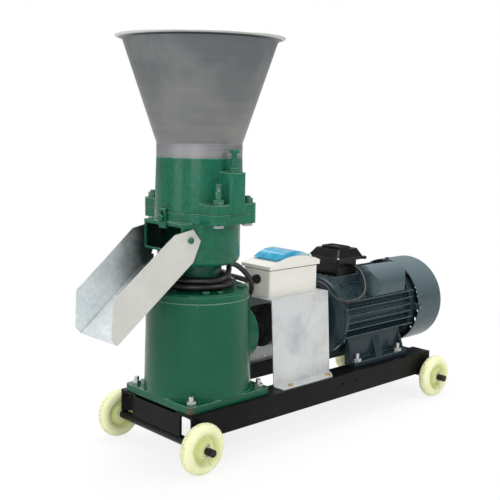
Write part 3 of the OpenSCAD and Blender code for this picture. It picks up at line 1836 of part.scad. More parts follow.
module motor_hub() {
  color("#2a2b2d")
    placed()
      translate([0, 0, drive_z])
        coupling_half(motor_shaft_diameter / 2, coupling_middle + coupling_gap, 1);
}

// Pins through both flanges of the coupling, a nut at each end and a bush between the flanges
module coupling_pins() {
  start = coupling_middle - flange_disc_width;
  end = coupling_middle + coupling_gap + flange_disc_width;
  color("#b9bcbf")
    placed()
      translate([0, 0, drive_z])
        for (i = [0 : coupling_pins_count - 1])
          rotate([i * 360 / coupling_pins_count, 0, 0])
            translate([0, 0, coupling_pin_circle]) {
              rod_x(m8[0] / 2, start - m8[2] - thread_tail, end);
              rod_x(m8[0] / 2 + pin_shoulder, coupling_middle, coupling_middle + coupling_gap);
              translate([start - m8[2], 0, 0])
                rotate([0, 90, 0])
                  hex(m8, m8[2]);
              translate([end, 0, 0])
                rotate([0, 90, 0])
                  hex(m8, m8[2]);
            }
}

module rotor_shaft() {
  color("#9a9da0")
    placed()
      translate([0, 0, drive_z])
        rod_x(motor_shaft_diameter / 2, motor_shaft_end, rotor_end);
}

module cooling_fan() {
  color("#2a2b2d")
    placed()
      translate([0, 0, drive_z])
        difference() {
          union() {
            rod_x(fan_hub_radius, fan_start, fan_start + fan_length);
            rod_x(fan_radius, fan_start, fan_start + fan_disc);
            for (i = [0 : fan_blades - 1])
              rotate([i * 360 / fan_blades, 0, 0])
                translate([fan_start, -fan_blade / 2, fan_hub_radius - over])
                  cube([fan_length, fan_blade, fan_radius - fan_hub_radius]);
          }
          rod_x(motor_shaft_diameter / 2 + fit_gap, fan_start - over, fan_start + fan_length + over);
        }
}

// Control box on its bracket

// Half of the bracket's section, from the middle of its top out to the edge of its foot
bracket_half = [
  [bracket_top_half_width, bracket_top],
  [bracket_foot_half_width, rail_top + bracket_sheet],
  [bracket_reach, rail_top + bracket_sheet],
  [bracket_reach, rail_top],
  [bracket_foot_half_width - bracket_sheet, rail_top],
  [bracket_top_half_width - bracket_sheet, bracket_top - bracket_sheet]
];

module box_bracket() {
  end = bracket_start + bracket_length;
  color("#c4c7c6")
    placed()
      difference() {
        translate([bracket_start, 0, 0])
          rotate([90, 0, 90])
            linear_extrude(bracket_length)
              polygon(concat(bracket_half, [for (i = [5 : -1 : 0]) [-bracket_half[i][0], bracket_half[i][1]]]));
        both_sides() {
          translate([end, bracket_foot_half_width + bracket_clip_inset, rail_top - over])
            linear_extrude(2 * over + bracket_sheet)
              polygon([
                [over, 0],
                [over, bracket_reach],
                [-bracket_clip, bracket_reach],
                [-bracket_clip, bracket_reach - bracket_foot_half_width - bracket_clip_inset]
              ]);
          for (x = bracket_screws_x)
            translate([x, bracket_screw_y, rail_top - over])
              cylinder(h = bracket_sheet + 2 * over, r = m6[0] / 2 + bolt_play);
          translate([bracket_hole_x, 0, bracket_hole_z])
            rod_y(bracket_hole_radius, bracket_top_half_width - 2 * bracket_sheet,
              bracket_foot_half_width + over);
        }
      }
}
bracket_clip = 21;
bracket_hole_x = 270;
bracket_hole_z = rail_top + bracket_hole_rise;
bracket_hole_radius = 2.5;

module bracket_screws() {
  color("#c2a75a")
    placed()
      for (x = bracket_screws_x, y = [-bracket_screw_y, bracket_screw_y])
        translate([x, y, rail_top + bracket_sheet])
          bolt(m6, bracket_sheet + rail_wall + m6[2]);
}

// Tray of the control box, with a hole for each cable
module control_box() {
  color("#d9d6cd")
    placed()
      difference() {
        translate([0, 0, bracket_top])
          linear_extrude(box_height)
            rounded_rect(box_x, box_x + box_length, box_y, box_y + box_width, box_corner);
        translate([0, 0, bracket_top + box_wall])
          linear_extrude(box_height)
            rounded_rect(box_x + box_wall, box_x + box_length - box_wall, box_y + box_wall,
              box_y + box_width - box_wall, box_corner - box_wall);
        translate([0, -gland_y, gland_z])
          rod_x(gland_neck - gland_shoulder, box_x - over, box_x + box_wall + over);
        translate([0, lead_entry_y, lead_entry_z])
          rod_x(lead_diameter / 2 + fit_gap, box_x + box_length - box_wall - over,
            box_x + box_length + over);
      }
}
box_corner = 5;
gland_neck = 8;
gland_ring = 10;
lead_entry_y = box_y + lead_entry_inset;
lead_entry_z = bracket_top + lead_entry_rise;

// Height of the lid's curved top at a place along X, dropped by a wall
crown_x = lid_x + lid_length * crown_share;
lid_share = 0.82;
lid_half = lid_length - (crown_x - lid_x);
lid_radius = (lid_half * lid_half + lid_crown * lid_crown * lid_share * lid_share) / (2 * lid_crown * lid_share);
lid_steps = 16;
function lid_height(x) =
  let(d = x - crown_x)
  crown_z - lid_radius + sqrt(lid_radius * lid_radius - d * d);

// Straight slope at the lid's front, then the round crown down to its back
module lid_outline(drop) {
  start = lid_x + lid_length * lid_slope_share;
  polygon(concat(
    [[lid_x + drop, lid_bottom - (drop > 0 ? over : 0)], [lid_x + drop, rim_top - drop]],
    [
      for (i = [0 : lid_steps])
        let(x = start + (lid_x + lid_length - drop - start) * i / lid_steps)
        [x, lid_height(x) - drop]
    ],
    [[lid_x + lid_length - drop, lid_bottom - (drop > 0 ? over : 0)]]
  ));
}
lid_slope_share = 0.26;

// Hood of the window flap, as a round segment that the lid is taken away from
module window_segment(x0, x1, z0, rise) {
  half = (x1 - x0) / 2;
  r = (half * half + rise * rise) / (2 * rise);
  intersection() {
    translate([x0 + half, z0 + rise - r])
      circle(r, $fn = 128);
    translate([x0, z0])
      square([x1 - x0, rise + over]);
  }
}

module control_lid() {
  color("#d9d6cd")
    placed() {
      window_pin();
      difference() {
        translate([0, lid_y + lid_width, 0])
          rotate([90, 0, 0])
            linear_extrude(lid_width)
              lid_outline(0);
        translate([0, lid_y + lid_width - box_wall, 0])
          rotate([90, 0, 0])
            linear_extrude(lid_width - 2 * box_wall)
              lid_outline(box_wall);
        translate([window_x + window_ledge, window_y + window_ledge, rim_top - box_wall])
          cube([window_length - window_ledge - window_hinge_ledge, window_width - 2 * window_ledge, lid_crown + 2 * box_wall]);
      }
    }
}
hinge_radius = 2.4;
hinge_pin_radius = 1.2;
hinge_lug = 3;
hinge_x = window_end - hinge_radius;
hinge_z = lid_height(hinge_x) + seat_gap + hinge_radius;

// Hinge pin of the window flap, in a lug on the lid at each end
module window_pin() {
  translate([hinge_x, 0, hinge_z])
    rod_y(hinge_pin_radius, window_y - seat_gap - over, window_y + window_width + seat_gap + over);
  for (y = [window_y - seat_gap - hinge_lug, window_y + window_width + seat_gap])
    translate([hinge_x, 0, hinge_z]) {
      rod_y(hinge_radius, y, y + hinge_lug);
      translate([-hinge_radius, y, -hinge_radius - seat_gap - hinge_lug / 2])
        cube([2 * hinge_radius, hinge_lug, hinge_radius + seat_gap + hinge_lug / 2]);
    }
}

// Curved window flap with closed ends; it hinges on the pin at its far edge
module window_flap() {
  color("#2aa3d0")
    placed()
      difference() {
        union() {
          difference() {
            translate([0, window_y + window_width, 0])
              rotate([90, 0, 0])
                linear_extrude(window_width)
                  window_segment(window_x, window_end, window_z, window_rise);
            translate([hinge_x, window_y - over, window_z - over])
              cube([2 * hinge_radius, window_width + 2 * over, window_rise]);
          }
          translate([hinge_x, 0, hinge_z])
            rod_y(hinge_radius, window_y, window_y + window_width);
        }
        translate([hinge_x, 0, hinge_z])
          rod_y(hinge_pin_radius + running_fit, window_y - over, window_y + window_width + over);
        translate([0, window_y + window_width - window_sheet, 0])
          rotate([90, 0, 0])
            linear_extrude(window_width - 2 * window_sheet)
              window_segment(window_x + 2 * window_sheet, window_end - 2 * window_sheet,
                window_z, window_rise - window_sheet);
        translate([0, lid_y + lid_width + over, seat_gap])
          rotate([90, 0, 0])
            linear_extrude(lid_width + 2 * over)
              lid_outline(0);
      }
}
window_sheet = 2;

module cord_gland() {
  color("#17181a")
    placed()
      translate([0, -gland_y, gland_z])
        difference() {
          union() {
            rod_x(gland_ring, box_x - gland_flange, box_x);
            rod_x(gland_neck, box_x - gland_length, box_x);
            rod_x(gland_neck - gland_shoulder - fit_gap, box_x - over, box_x + box_wall + gland_proud);
          }
          rod_x(cord_diameter / 2 + fit_gap, box_x - gland_length - over, box_x + box_wall + gland_proud + over);
        }
}
gland_flange = 5;

// Circuit breaker standing in the box under the window
module breaker() {
  color("#ecebe6")
    placed()
      difference() {
        translate([breaker_x, breaker_y, bracket_top + box_wall])
          cube([breaker_length, breaker_width, rim_top + breaker_rise - bracket_top - box_wall]);
        translate([breaker_x + breaker_length / 2, 0, toggle_z])
          rod_y(toggle_radius + seat_gap, breaker_y + toggle_inset, breaker_y + breaker_width - toggle_inset);
      }
}
breaker_length = 50;
breaker_width = 36;
breaker_x = window_x + breaker_inset;
breaker_y = window_y + (window_width - breaker_width) / 2;
toggle_radius = 6;
toggle_z = rim_top + breaker_rise - toggle_drop;
toggle_lean = 30;

// Roller of the breaker's toggle with its tongue
module breaker_toggle() {
  color("#1c1c1e")
    placed()
      translate([breaker_x + breaker_length / 2, 0, toggle_z])
        rotate([0, -toggle_lean, 0]) {
          rod_y(toggle_radius, breaker_y + toggle_inset + seat_gap, breaker_y + breaker_width - toggle_inset - seat_gap);
          translate([-toggle_blade / 2, breaker_y + toggle_blade_inset, 0])
            cube([toggle_blade, breaker_width - 2 * toggle_blade_inset, toggle_radius + toggle_reach]);
        }
}

// Unit vector along v
function unit(v) = v / norm(v);

// Point at share t of the way from b to c on the smooth curve through a, b, c and d
function on_curve(a, b, c, d, t) =
  (2 * b + (c - a) * t + (2 * a - 5 * b + 4 * c - d) * t ^ 2 + (3 * b - a - 3 * c + d) * t ^ 3) / 2;

// Smooth run through the points, straight in its first and its last stretch
function smooth_run(p, steps) =
  let (n = len(p))
    concat(
      [p[0]],
      [for (i = [1 : n - 3], k = [0 : steps - 1])
        let (
          a = i == 1 ? p[2] - 2 * norm(p[2] - p[1]) * unit(p[1] - p[0]) : p[i - 1],
          d = i == n - 3 ? p[i] + 2 * norm(p[n - 2] - p[i]) * unit(p[n - 1] - p[n - 2]) : p[i + 2]
        )
          on_curve(a, p[i], p[i + 1], d, k / steps)],
      [p[n - 2], p[n - 1]]
    );

// Directions of a run at its points
function run_tangents(run) =
  let (last = len(run) - 1)
    [for (i = [0 : last]) unit(run[min(i + 1, last)] - run[max(i - 1, 0)])];

// Part of v that is square to the unit vector t
function squared(v, t) = unit(v - (v * t) * t);

// Normals that turn along with the run and don't twist about it
function run_normals(tangents, i = 0, before = undef) =
  let (now = squared(i == 0 ? (abs(tangents[0][2]) > cos(45) ? [1, 0, 0] : [0, 0, 1]) : before, tangents[i]))
    i == len(tangents) - 1 ? [now] : concat([now], run_normals(tangents, i + 1, now));

// Round tube swept along a run of points
module swept_tube(run, r, sides) {
  tangents = run_tangents(run);
  normals = run_normals(tangents);
  count = len(run);
  points = [
    for (i = [0 : count - 1], k = [0 : sides - 1])
      let (angle = 360 * (k + 1 / 2) / sides)
        run[i] + r * (cos(angle) * normals[i] + sin(angle) * cross(tangents[i], normals[i]))
  ];
  walls = [
    for (i = [0 : count - 2], k = [0 : sides - 1], half = [0, 1])
      let (
        a = i * sides + k,
        b = i * sides + (k + 1) % sides
      )
        half == 0 ? [a, a + sides, b] : [b, a + sides, b + sides]
  ];
  ends = [
    for (k = [1 : sides - 2], end = [0, 1])
      end == 0 ? [0, k, k + 1] : [(count - 1) * sides, (count - 1) * sides + k + 1, (count - 1) * sides + k]
  ];
  polyhedron(points = points, faces = concat(walls, ends));
}

// Radius, height and place of the coil's tube after a number of turns. It winds inwards, turns back
// outwards and climbs a layer there.
function coil_radius(turns) = coil_start_radius - coil_pitch * min(turns, 2 * coil_reversal - turns);
function coil_climb(turns) =
  let (u = max(0, min(1, (turns - coil_reversal) * 2 + 1 / 2)))
    u * u * (3 - 2 * u);
function coil_point(turns) =
  let (angle = coil_start_angle + 360 * turns)
    [
      coil_radius(turns) * cos(angle),
      coil_radius(turns) * sin(angle),
      coil_z + coil_pitch * coil_climb(turns)
    ];
function coil_direction(turns) =
  let (angle = coil_start_angle + 360 * turns)
    [-sin(angle), cos(angle), 0];
coil_first = coil_point(0) - cord_diameter * coil_direction(0);
coil_last = coil_point(coil_turns) + cord_diameter * coil_direction(coil_turns);
coil_steps = floor(coil_turns * coil_rings);
coil_run = concat(
  [coil_first],
  [for (i = [0 : coil_steps]) coil_point(coil_turns * i / coil_steps)],
  [coil_last]
);

// Least distance between turns of the coil, measured on its points
coil_gap = min([
  for (i = [0 : coil_steps], j = [i + coil_rings / 2 : coil_steps])
    norm(coil_point(coil_turns * i / coil_steps) - coil_point(coil_turns * j / coil_steps))
]) - cord_diameter;
echo(coil_gap = coil_gap);

// Cord from the gland to the coil
module cord_lead() {
  end = coil_first - cord_seat * coil_direction(0);
  color("#141516")
    placed()
      swept_tube(
        smooth_run(
          concat(
            [[box_x - gland_length - cord_seat, -gland_y, gland_z]],
            lead_route,
            [end - cord_diameter * coil_direction(0), end]
          ),
          2
        ),
        cord_radius,
        cord_sides
      );
}

// Loops of the cord piled on the cover
module cord_coil() {
  color("#1b1c1e")
    placed()
      swept_tube(coil_run, cord_radius, coil_sides);
}

// Cord from the coil to the plug
module cord_arch() {
  start = coil_last + cord_seat * coil_direction(coil_turns);
  color("#141516")
    placed()
      swept_tube(
        smooth_run(
          concat(
            [start, start + cord_diameter * coil_direction(coil_turns)],
            arch_route,
            [
              [plug_x, plug_y, plug_top + cord_seat + cord_diameter],
              [plug_x, plug_y, plug_top + cord_seat]
            ]
          ),
          2
        ),
        cord_radius,
        cord_sides
      );
}

// Plug that hangs at the cord's end, with a ribbed strain relief, a grip and three flat pins
module plug() {
  color("#17181a")
    placed()
      translate([plug_x, plug_y, plug_top]) {
        rotate([180, 0, 0])
          rotate_extrude()
            polygon(concat(
              [[0, 0], [cord_radius, 0]],
              [
                for (i = [0 : relief_ribs - 1], k = [0 : 3])
                  [
                    cord_radius + relief_taper * (i + 1) / relief_ribs + (k % 3 == 0 ? 0 : relief_rib),
                    relief_length * (i + [1, 1, 3, 3][k] / 4) / relief_ribs
                  ]
              ],
              [[cord_radius + relief_taper, relief_length + over], [0, relief_length + over]]
            ));
        translate([0, 0, -relief_length - plug_grip])
          linear_extrude(plug_grip)
            rounded_rect(-plug_depth / 2, plug_depth / 2, -plug_width / 2, plug_width / 2, plug_corner);
        for (i = [-1 : 1])
          translate([
            (i == 0 ? plug_pin_lift : -plug_pin_lift) - plug_pin_thickness / 2,
            i * plug_pin_spread - plug_pin_width / 2,
            -relief_length - plug_grip - plug_pin_length
          ])
            cube([plug_pin_thickness, plug_pin_width, plug_pin_length + over]);
      }
}
relief_ribs = 7;
relief_taper = 3;
relief_rib = 1;
relief_length = 35;
plug_grip = 45;
plug_depth = 22;
plug_width = 36;
plug_corner = 6;
plug_pin_lift = 4;
plug_pin_spread = 10;
plug_pin_thickness = 1.8;
plug_pin_width = 6.3;
plug_pin_length = 18;

// Lead from the terminal box to the control box
module motor_lead() {
  start = [terminal_gland_x, terminal_gland_depth - terminal_half_width, terminal_gland_z];
  exit = [terminal_gland_x, -terminal_half_width - 2 * lead_diameter, terminal_gland_z];
  end = [box_x + box_length, lead_entry_y, lead_entry_z];
  color("#141516")
    placed()
      swept_tube(
        smooth_run(
          concat(
            [start - [0, cord_seat, 0], exit],
            motor_lead_route,
            [end + [2 * lead_diameter, 0, 0], end - [box_wall, 0, 0]]
          ),
          2
        ),
        lead_diameter / 2,
        cord_sides
      );
}

rail_near();
rail_far();
cross_members();
axles();
split_pins();
gearbox_body();
gearbox_cover();
cover_bolts();
base_bolts();
input_cap();
bearings();
discharge_housing();
upper_chamber();
flange_bolts();
lock_nuts();
hopper();
chute_screws();
motor_frame();
front_bell();
rear_bell();
fan_cowl();
terminal_box();
terminal_lid();
capacitor_hood();
motor_bolts();
box_bracket();
control_box();
control_lid();
cord_gland();
bracket_screws();
breaker();
rotor_shaft();
cooling_fan();
motor_hub();
coupling_pins();
pinion_hub();
pinion_shaft();
bevel_gear();
main_shaft();
thrower_disc();
die_plate();
die_nut();
roller_shaft();
adjusting_screws();
roller_near();
roller_far();
cutter_blade();
wheel_front_near();
wheel_front_far();
wheel_rear_near();
wheel_rear_far();
window_flap();
breaker_toggle();
chute();
cord_lead();
cord_coil();
cord_arch();
plug();
motor_lead();
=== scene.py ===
import math

import bpy
from mathutils import Matrix, Vector


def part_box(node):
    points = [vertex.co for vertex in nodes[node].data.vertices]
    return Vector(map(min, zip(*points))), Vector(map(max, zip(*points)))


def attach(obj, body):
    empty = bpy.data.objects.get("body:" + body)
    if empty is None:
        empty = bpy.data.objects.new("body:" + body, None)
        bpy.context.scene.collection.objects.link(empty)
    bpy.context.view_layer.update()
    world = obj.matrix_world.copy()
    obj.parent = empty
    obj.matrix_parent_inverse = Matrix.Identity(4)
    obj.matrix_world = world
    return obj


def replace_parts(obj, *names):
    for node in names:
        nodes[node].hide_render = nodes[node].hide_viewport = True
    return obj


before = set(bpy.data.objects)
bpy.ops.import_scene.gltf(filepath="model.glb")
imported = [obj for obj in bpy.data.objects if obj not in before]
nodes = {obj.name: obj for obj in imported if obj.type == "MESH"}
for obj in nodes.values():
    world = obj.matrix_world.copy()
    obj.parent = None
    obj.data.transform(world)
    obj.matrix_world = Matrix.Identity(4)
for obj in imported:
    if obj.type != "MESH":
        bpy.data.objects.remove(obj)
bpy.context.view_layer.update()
scene = bpy.context.scene

# Cords, and all that goes through place, are in millimetres from the tower's axis, as the
# machine was laid out. Other lengths are in metres, in the part's own frame.
MM_PER_M = 1000
hopper_low, hopper_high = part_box("hopper")
TOWER_X = (hopper_low[0] + hopper_high[0]) / 2


def place(x, y, z):
    """Point in metres in the part's own frame."""
    return Vector((x / MM_PER_M + TOWER_X, y / MM_PER_M, z / MM_PER_M))


# Camera, fitted to the photograph

CAMERA_SENSOR_WIDTH = 36
CAMERA_LENS = 63.01
CAMERA_CLIP_END = 50
CAMERA_PLACE = (-1107.87, -1329.83, 668.04)
CAMERA_FORWARD = (0.6766, 0.7205, -0.1516)
CAMERA_RIGHT = (0.7308, -0.6823, 0.0183)


def make_camera():
    """Sees the machine as the photograph does."""
    data = bpy.data.cameras.new("camera")
    data.sensor_width = CAMERA_SENSOR_WIDTH
    data.lens = CAMERA_LENS
    data.clip_end = CAMERA_CLIP_END
    camera = bpy.data.objects.new("camera", data)
    scene.collection.objects.link(camera)
    forward = Vector(CAMERA_FORWARD).normalized()
    right = Vector(CAMERA_RIGHT)
    right = (right - right.dot(forward) * forward).normalized()
    up = right.cross(forward)
    turn = Matrix((right, up, -forward)).transposed().to_4x4()
    camera.matrix_world = Matrix.Translation(place(*CAMERA_PLACE)) @ turn
    scene.camera = camera


make_camera()


# Cords. Their routes are those of the solids.

CORD_DIAMETER = 11
CORD_GAP = 0.6
CORD_PITCH = CORD_DIAMETER + CORD_GAP
CORD_SIDES = 16
CORD_STEPS = 3
# The coil winds inwards up to its reversal, climbs one layer there and winds outwards again.
COIL_START_RADIUS = 80
COIL_START_ANGLE = 35
COIL_TURNS = 3.55
COIL_REVERSAL = 2.25
COIL_CLIMB = 0.5
COIL_Z = 339.3
COIL_POINTS_PER_TURN = 16
GLAND_MOUTH = (140, -13, 327)
LEAD_ROUTE = [
    (129, -13, 327), (116.5, -11.2, 329.5), (105, -6, 333.8), (96.5, 1, 336.6), (89, 12, 338.5),
]
ARCH_ROUTE = [
    (-2, -75.5, 354.5), (14, -71.5, 360.5), (27.5, -61, 366.5), (39, -48, 370), (52, -36.5, 371),
    (67, -27.5, 370), (82, -23.5, 365), (96, -23.5, 356), (109, -24.5, 344), (119.5, -24.5, 330),
    (127, -21.5, 315), (131, -13.2, 300), (132, -1, 288), (132, 13, 279.5), (132, 28.5, 272.5),
    (131.5, 44, 265), (129.5, 57.5, 254.5), (127.5, 66.5, 241),
]
PLUG = (127, 69, 214)
MOTOR_LEAD_DIAMETER = 6.5
MOTOR_LEAD_STEPS = 4
MOTOR_LEAD_ROUTE = [
    (424, -27, 331), (424, -50, 331), (422.5, -56, 329), (419, -70, 324.5), (414, -83, 316.5),
    (407, -95, 306), (397.5, -106, 294.5), (386, -113, 284), (370, -115.5, 275), (354, -113, 270),
    (340, -106.5, 268), (328.5, -96.5, 270), (321, -84.5, 276), (318.5, -72, 285),
    (320.5, -60, 295.5), (317, -47, 302.5), (311, -36, 305), (295, -36, 305),
]


def coil_angle(turns):
    """Angle in radians that the coil has reached after some turns."""
    return math.radians(COIL_START_ANGLE + 360 * turns)


def coil_point(turns):
    """Point on the coil's centre line after some turns."""
    angle = coil_angle(turns)
    radius = COIL_START_RADIUS - CORD_PITCH * min(turns, 2 * COIL_REVERSAL - turns)
    u = max(0, min(1, (turns - COIL_REVERSAL) / COIL_CLIMB + 0.5))
    z = COIL_Z + CORD_PITCH * u * u * (3 - 2 * u)
    return Vector((radius * math.cos(angle), radius * math.sin(angle), z))


def coil_direction(turns):
    """Level direction in which the coil winds after some turns."""
    angle = coil_angle(turns)
    return Vector((-math.sin(angle), math.cos(angle), 0))


def cord_route():
    """Points of the whole power cord, from the gland to the plug."""
    first = coil_point(0) - CORD_DIAMETER * coil_direction(0)
    last = coil_point(COIL_TURNS) + CORD_DIAMETER * coil_direction(COIL_TURNS)
    steps = round(COIL_TURNS * COIL_POINTS_PER_TURN)
    points = [Vector(GLAND_MOUTH)]
    points += [Vector(p) for p in LEAD_ROUTE]
    points += [first - CORD_DIAMETER * coil_direction(0), first]
    points += [coil_point(COIL_TURNS * i / steps) for i in range(steps + 1)]
    points += [last, last + CORD_DIAMETER * coil_direction(COIL_TURNS)]
    points += [Vector(p) for p in ARCH_ROUTE]
    points += [Vector(PLUG) + Vector((0, 0, CORD_DIAMETER)), Vector(PLUG)]
    return [place(*p) for p in points]


def on_curve(a, b, c, d, t):
    """Point at share t of the way from b to c on the smooth curve through four points."""
    return (2 * b + (c - a) * t + (2 * a - 5 * b + 4 * c - d) * t ** 2
            + (3 * b - a - 3 * c + d) * t ** 3) / 2


def smooth_run(p, steps):
    """Smooth run through the points, straight in its first and its last stretch."""
    run = [p[0]]
    count = len(p)
    for i in range(1, count - 2):
        a = p[i - 1]
        d = p[i + 2]
        if i == 1:
            a = p[2] - 2 * (p[2] - p[1]).length * (p[1] - p[0]).normalized()
        if i == count - 3:
            d = p[i] + 2 * (p[i + 1] - p[i]).length * (p[count - 1] - p[count - 2]).normalized()
        run += [on_curve(a, p[i], p[i + 1], d, k / steps) for k in range(steps)]
    return run + [p[count - 2], p[count - 1]]


# Shapes, as pairs of vertices and faces

UP = Vector((0, 0, 1))
# A sweep that starts steeper than this takes its first normal along X.
STEEP = 0.7


def ring(centre, radius, side, across, sides):
    """Vertices of a circle in the plane of side and across."""
    angles = [2 * math.pi * k / sides for k in range(sides)]
    return [centre + radius * (math.cos(a) * side + math.sin(a) * across) for a in angles]


def skin(rings, sides):
    """Faces over a row of rings of vertices, with closed ends."""
    faces = []
    for i in range(rings - 1):
        for k in range(sides):
            a = i * sides + k
            b = i * sides + (k + 1) % sides
            faces.append((a, b, b + sides, a + sides))
    faces.append(tuple(reversed(range(sides))))
    faces.append(tuple(range((rings - 1) * sides, rings * sides)))
    return faces


def swept(points, radius, sides):
    """Round tube swept along points."""
    count = len(points)
    tangents = []
    for i in range(count):
        tangents.append((points[min(i + 1, count - 1)] - points[max(i - 1, 0)]).normalized())
    normal = UP if abs(tangents[0].z) < STEEP else Vector((1, 0, 0))
    vertices = []
    for point, tangent in zip(points, tangents):
        normal = (normal - normal.dot(tangent) * tangent).normalized()
        vertices += ring(point, radius, normal, tangent.cross(normal), sides)
    return vertices, skin(count, sides)


def turned(centre, axis, profile, sides):
    """Profile of (radius, height) pairs turned about axis from centre."""
    axis = axis.normalized()
    side = axis.orthogonal().normalized()
    across = axis.cross(side)
    vertices = []
    for radius, height in profile:
        vertices += ring(centre + height * axis, radius, side, across, sides)
    return vertices, skin(len(profile), sides)


def build(name, shapes, material):
    """One object from several shapes, smooth along its quads and flat on its ends."""
    vertices = []
    faces = []
    for more, rings in shapes:
        faces += [tuple(v + len(vertices) for v in face) for face in rings]
        vertices += more
    mesh = bpy.data.meshes.new(name)
    mesh.from_pydata([tuple(v) for v in vertices], [], faces)
    mesh.polygons.foreach_set("use_smooth", [len(f) == 4 for f in faces])
    mesh.materials.append(material)
    piece = bpy.data.objects.new(name, mesh)
    scene.collection.objects.link(piece)
    return piece


# Materials

# The values between which most of a noise lies
NOISE_MIDDLE = (0.3, 0.7)
# Cosines of the angle between the rounded and the true normal, from a flat place to an edge
EDGE_COSINES = (0.97, 0.8)
# Upward parts of the rounded normal over which a soft light from above picks out an edge
LIT_SLOPES = (0.15, 0.5)
# A ragged spot in radii: where it ends, where it is full, and the weight of the noise that is
# added to the distance from its centre
SPOT_REACH = 1.9
SPOT_CORE = 1.3
SPOT_WANDER = 2
BEVEL_SAMPLES = 4


def tinted(color, share):
    """Colour made darker or lighter by a share."""
    return tuple(share * c for c in color)


class Graph:
    """Shader nodes of one material, made by short calls."""

    def __init__(self, name):
        self.material = bpy.data.materials.new(name)
        self.material.use_nodes = True
        self.tree = self.material.node_tree
        self.tree.nodes.clear()
        self.output = self.node("ShaderNodeOutputMaterial")
        self.coordinates = self.node("ShaderNodeTexCoord").outputs["Object"]

    def node(self, kind, **settings):
        """New node with its settings."""
        made = self.tree.nodes.new(kind)
        for key, value in settings.items():
            setattr(made, key, value)
        return made

    def put(self, socket, value):
        """Links the socket to another one, or sets it to a plain value."""
        if isinstance(value, bpy.types.NodeSocket):
            self.tree.links.new(value, socket)
        else:
            socket.default_value = value

    def stretched(self, scale, offset=(0, 0, 0)):
        """The coordinates scaled by axis and moved."""
        mapping = self.node("ShaderNodeMapping")
        self.put(mapping.inputs["Vector"], self.coordinates)
        mapping.inputs["Scale"].default_value = scale
        mapping.inputs["Location"].default_value = offset
        return mapping.outputs["Vector"]

    def noise(self, scale, detail, roughness, vector=None):
        """Noise over the object's coordinates, or over a vector of its own."""
        made = self.node("ShaderNodeTexNoise")
        self.put(made.inputs["Vector"], vector or self.coordinates)
        made.inputs["Scale"].default_value = scale
        made.inputs["Detail"].default_value = detail
        made.inputs["Roughness"].default_value = roughness
        return made.outputs["Fac"]

    def streaks(self, detail, roughness, scales):
        """Noise with a scale of its own along each axis."""
        return self.noise(1.0, detail, roughness, self.stretched(scales))

    def spangle(self, scale, bend_scale, bend):
        """Tone of each flake of zinc, the borders of the flakes bent by a noise."""
        drift = self.node("ShaderNodeTexNoise")
        self.put(drift.inputs["Vector"], self.coordinates)
        drift.inputs["Scale"].default_value = bend_scale
        shift = self.node("ShaderNodeVectorMath", operation="SCALE")
        self.put(shift.inputs[0], drift.outputs["Color"])
        shift.inputs["Scale"].default_value = bend
        bent = self.node("ShaderNodeVectorMath", operation="ADD")
        self.put(bent.inputs[0], self.coordinates)
        self.put(bent.inputs[1], shift.outputs[0])
        flakes = self.node("ShaderNodeTexVoronoi", feature="F1")
        self.put(flakes.inputs["Vector"], bent.outputs[0])
        flakes.inputs["Scale"].default_value = scale
        return self.axis("X", flakes.outputs["Color"])

    def span(self, value, low, high, to_low=0.0, to_high=1.0):
        """Maps low..high to to_low..to_high, clamped."""
        made = self.node("ShaderNodeMapRange")
        self.put(made.inputs["Value"], value)
        made.inputs["From Min"].default_value = low
        made.inputs["From Max"].default_value = high
        made.inputs["To Min"].default_value = to_low
        made.inputs["To Max"].default_value = to_high
        return made.outputs["Result"]

    def spread(self, value, to_low=0.0, to_high=1.0):
        """Maps the middle of a noise to to_low..to_high."""
        return self.span(value, *NOISE_MIDDLE, to_low, to_high)

    def patches(self, low, high, share, scale, detail, roughness, vector=None):
        """Mask of the patches where a noise rises through low..high, up to share."""
        return self.span(self.noise(scale, detail, roughness, vector), low, high, 0, share)

    def math(self, operation, *values):
        """Result of an operation on sockets and numbers."""
        made = self.node("ShaderNodeMath", operation=operation)
        for socket, value in zip(made.inputs, values):
            self.put(socket, value)
        return made.outputs[0]

    def times(self, a, b):
        """Product of two values."""
        return self.math("MULTIPLY", a, b)

    def relief(self, main, other, share):
        """One pattern with a share of another one added to it."""
        return self.math("ADD", main, self.times(other, share))

    def mix(self, share, a, b):
        """Colour that goes from a to b as the share rises."""
        made = self.node("ShaderNodeMix", data_type="RGBA")
        self.put(made.inputs["Factor"], share)
        self.put(made.inputs["A"], a if isinstance(a, bpy.types.NodeSocket) else (*a, 1))
        self.put(made.inputs["B"], b if isinstance(b, bpy.types.NodeSocket) else (*b, 1))
        return made.outputs["Result"]

    def axis(self, name, vector=None):
        """One part of the object's coordinates, or of a vector."""
        made = self.node("ShaderNodeSeparateXYZ")
        self.put(made.inputs[0], vector or self.coordinates)
        return made.outputs[name]

    def facing_axis(self, name):
        """How far the surface faces along an axis, from -1 to 1."""
        return self.axis(name, self.node("ShaderNodeNewGeometry").outputs["Normal"])

    def within(self, name, rise, fall):
        """Mask of a stretch along an axis that fades in over the pair rise and out over the pair fall."""
        value = self.axis(name)
        return self.times(self.span(value, *rise), self.span(value, fall[1], fall[0]))

    def band(self, name, middle, outer, inner, share):
        """Mask of a band across an axis: full up to inner from its middle and gone at outer."""
        away = self.math("ABSOLUTE", self.math("SUBTRACT", self.axis(name), middle))
        return self.span(away, outer, inner, 0, share)

    def grazing(self, blend, low, high, share):
        """Mask of a painted sheen, paler where a surface is seen at a grazing angle."""
        weight = self.node("ShaderNodeLayerWeight")
        weight.inputs["Blend"].default_value = blend
        return self.span(weight.outputs["Facing"], low, high, 0, share)

    def rounded(self, radius):
        """Normal that softens sharp edges."""
        made = self.node("ShaderNodeBevel", samples=BEVEL_SAMPLES)
        made.inputs["Radius"].default_value = radius
        return made.outputs["Normal"]

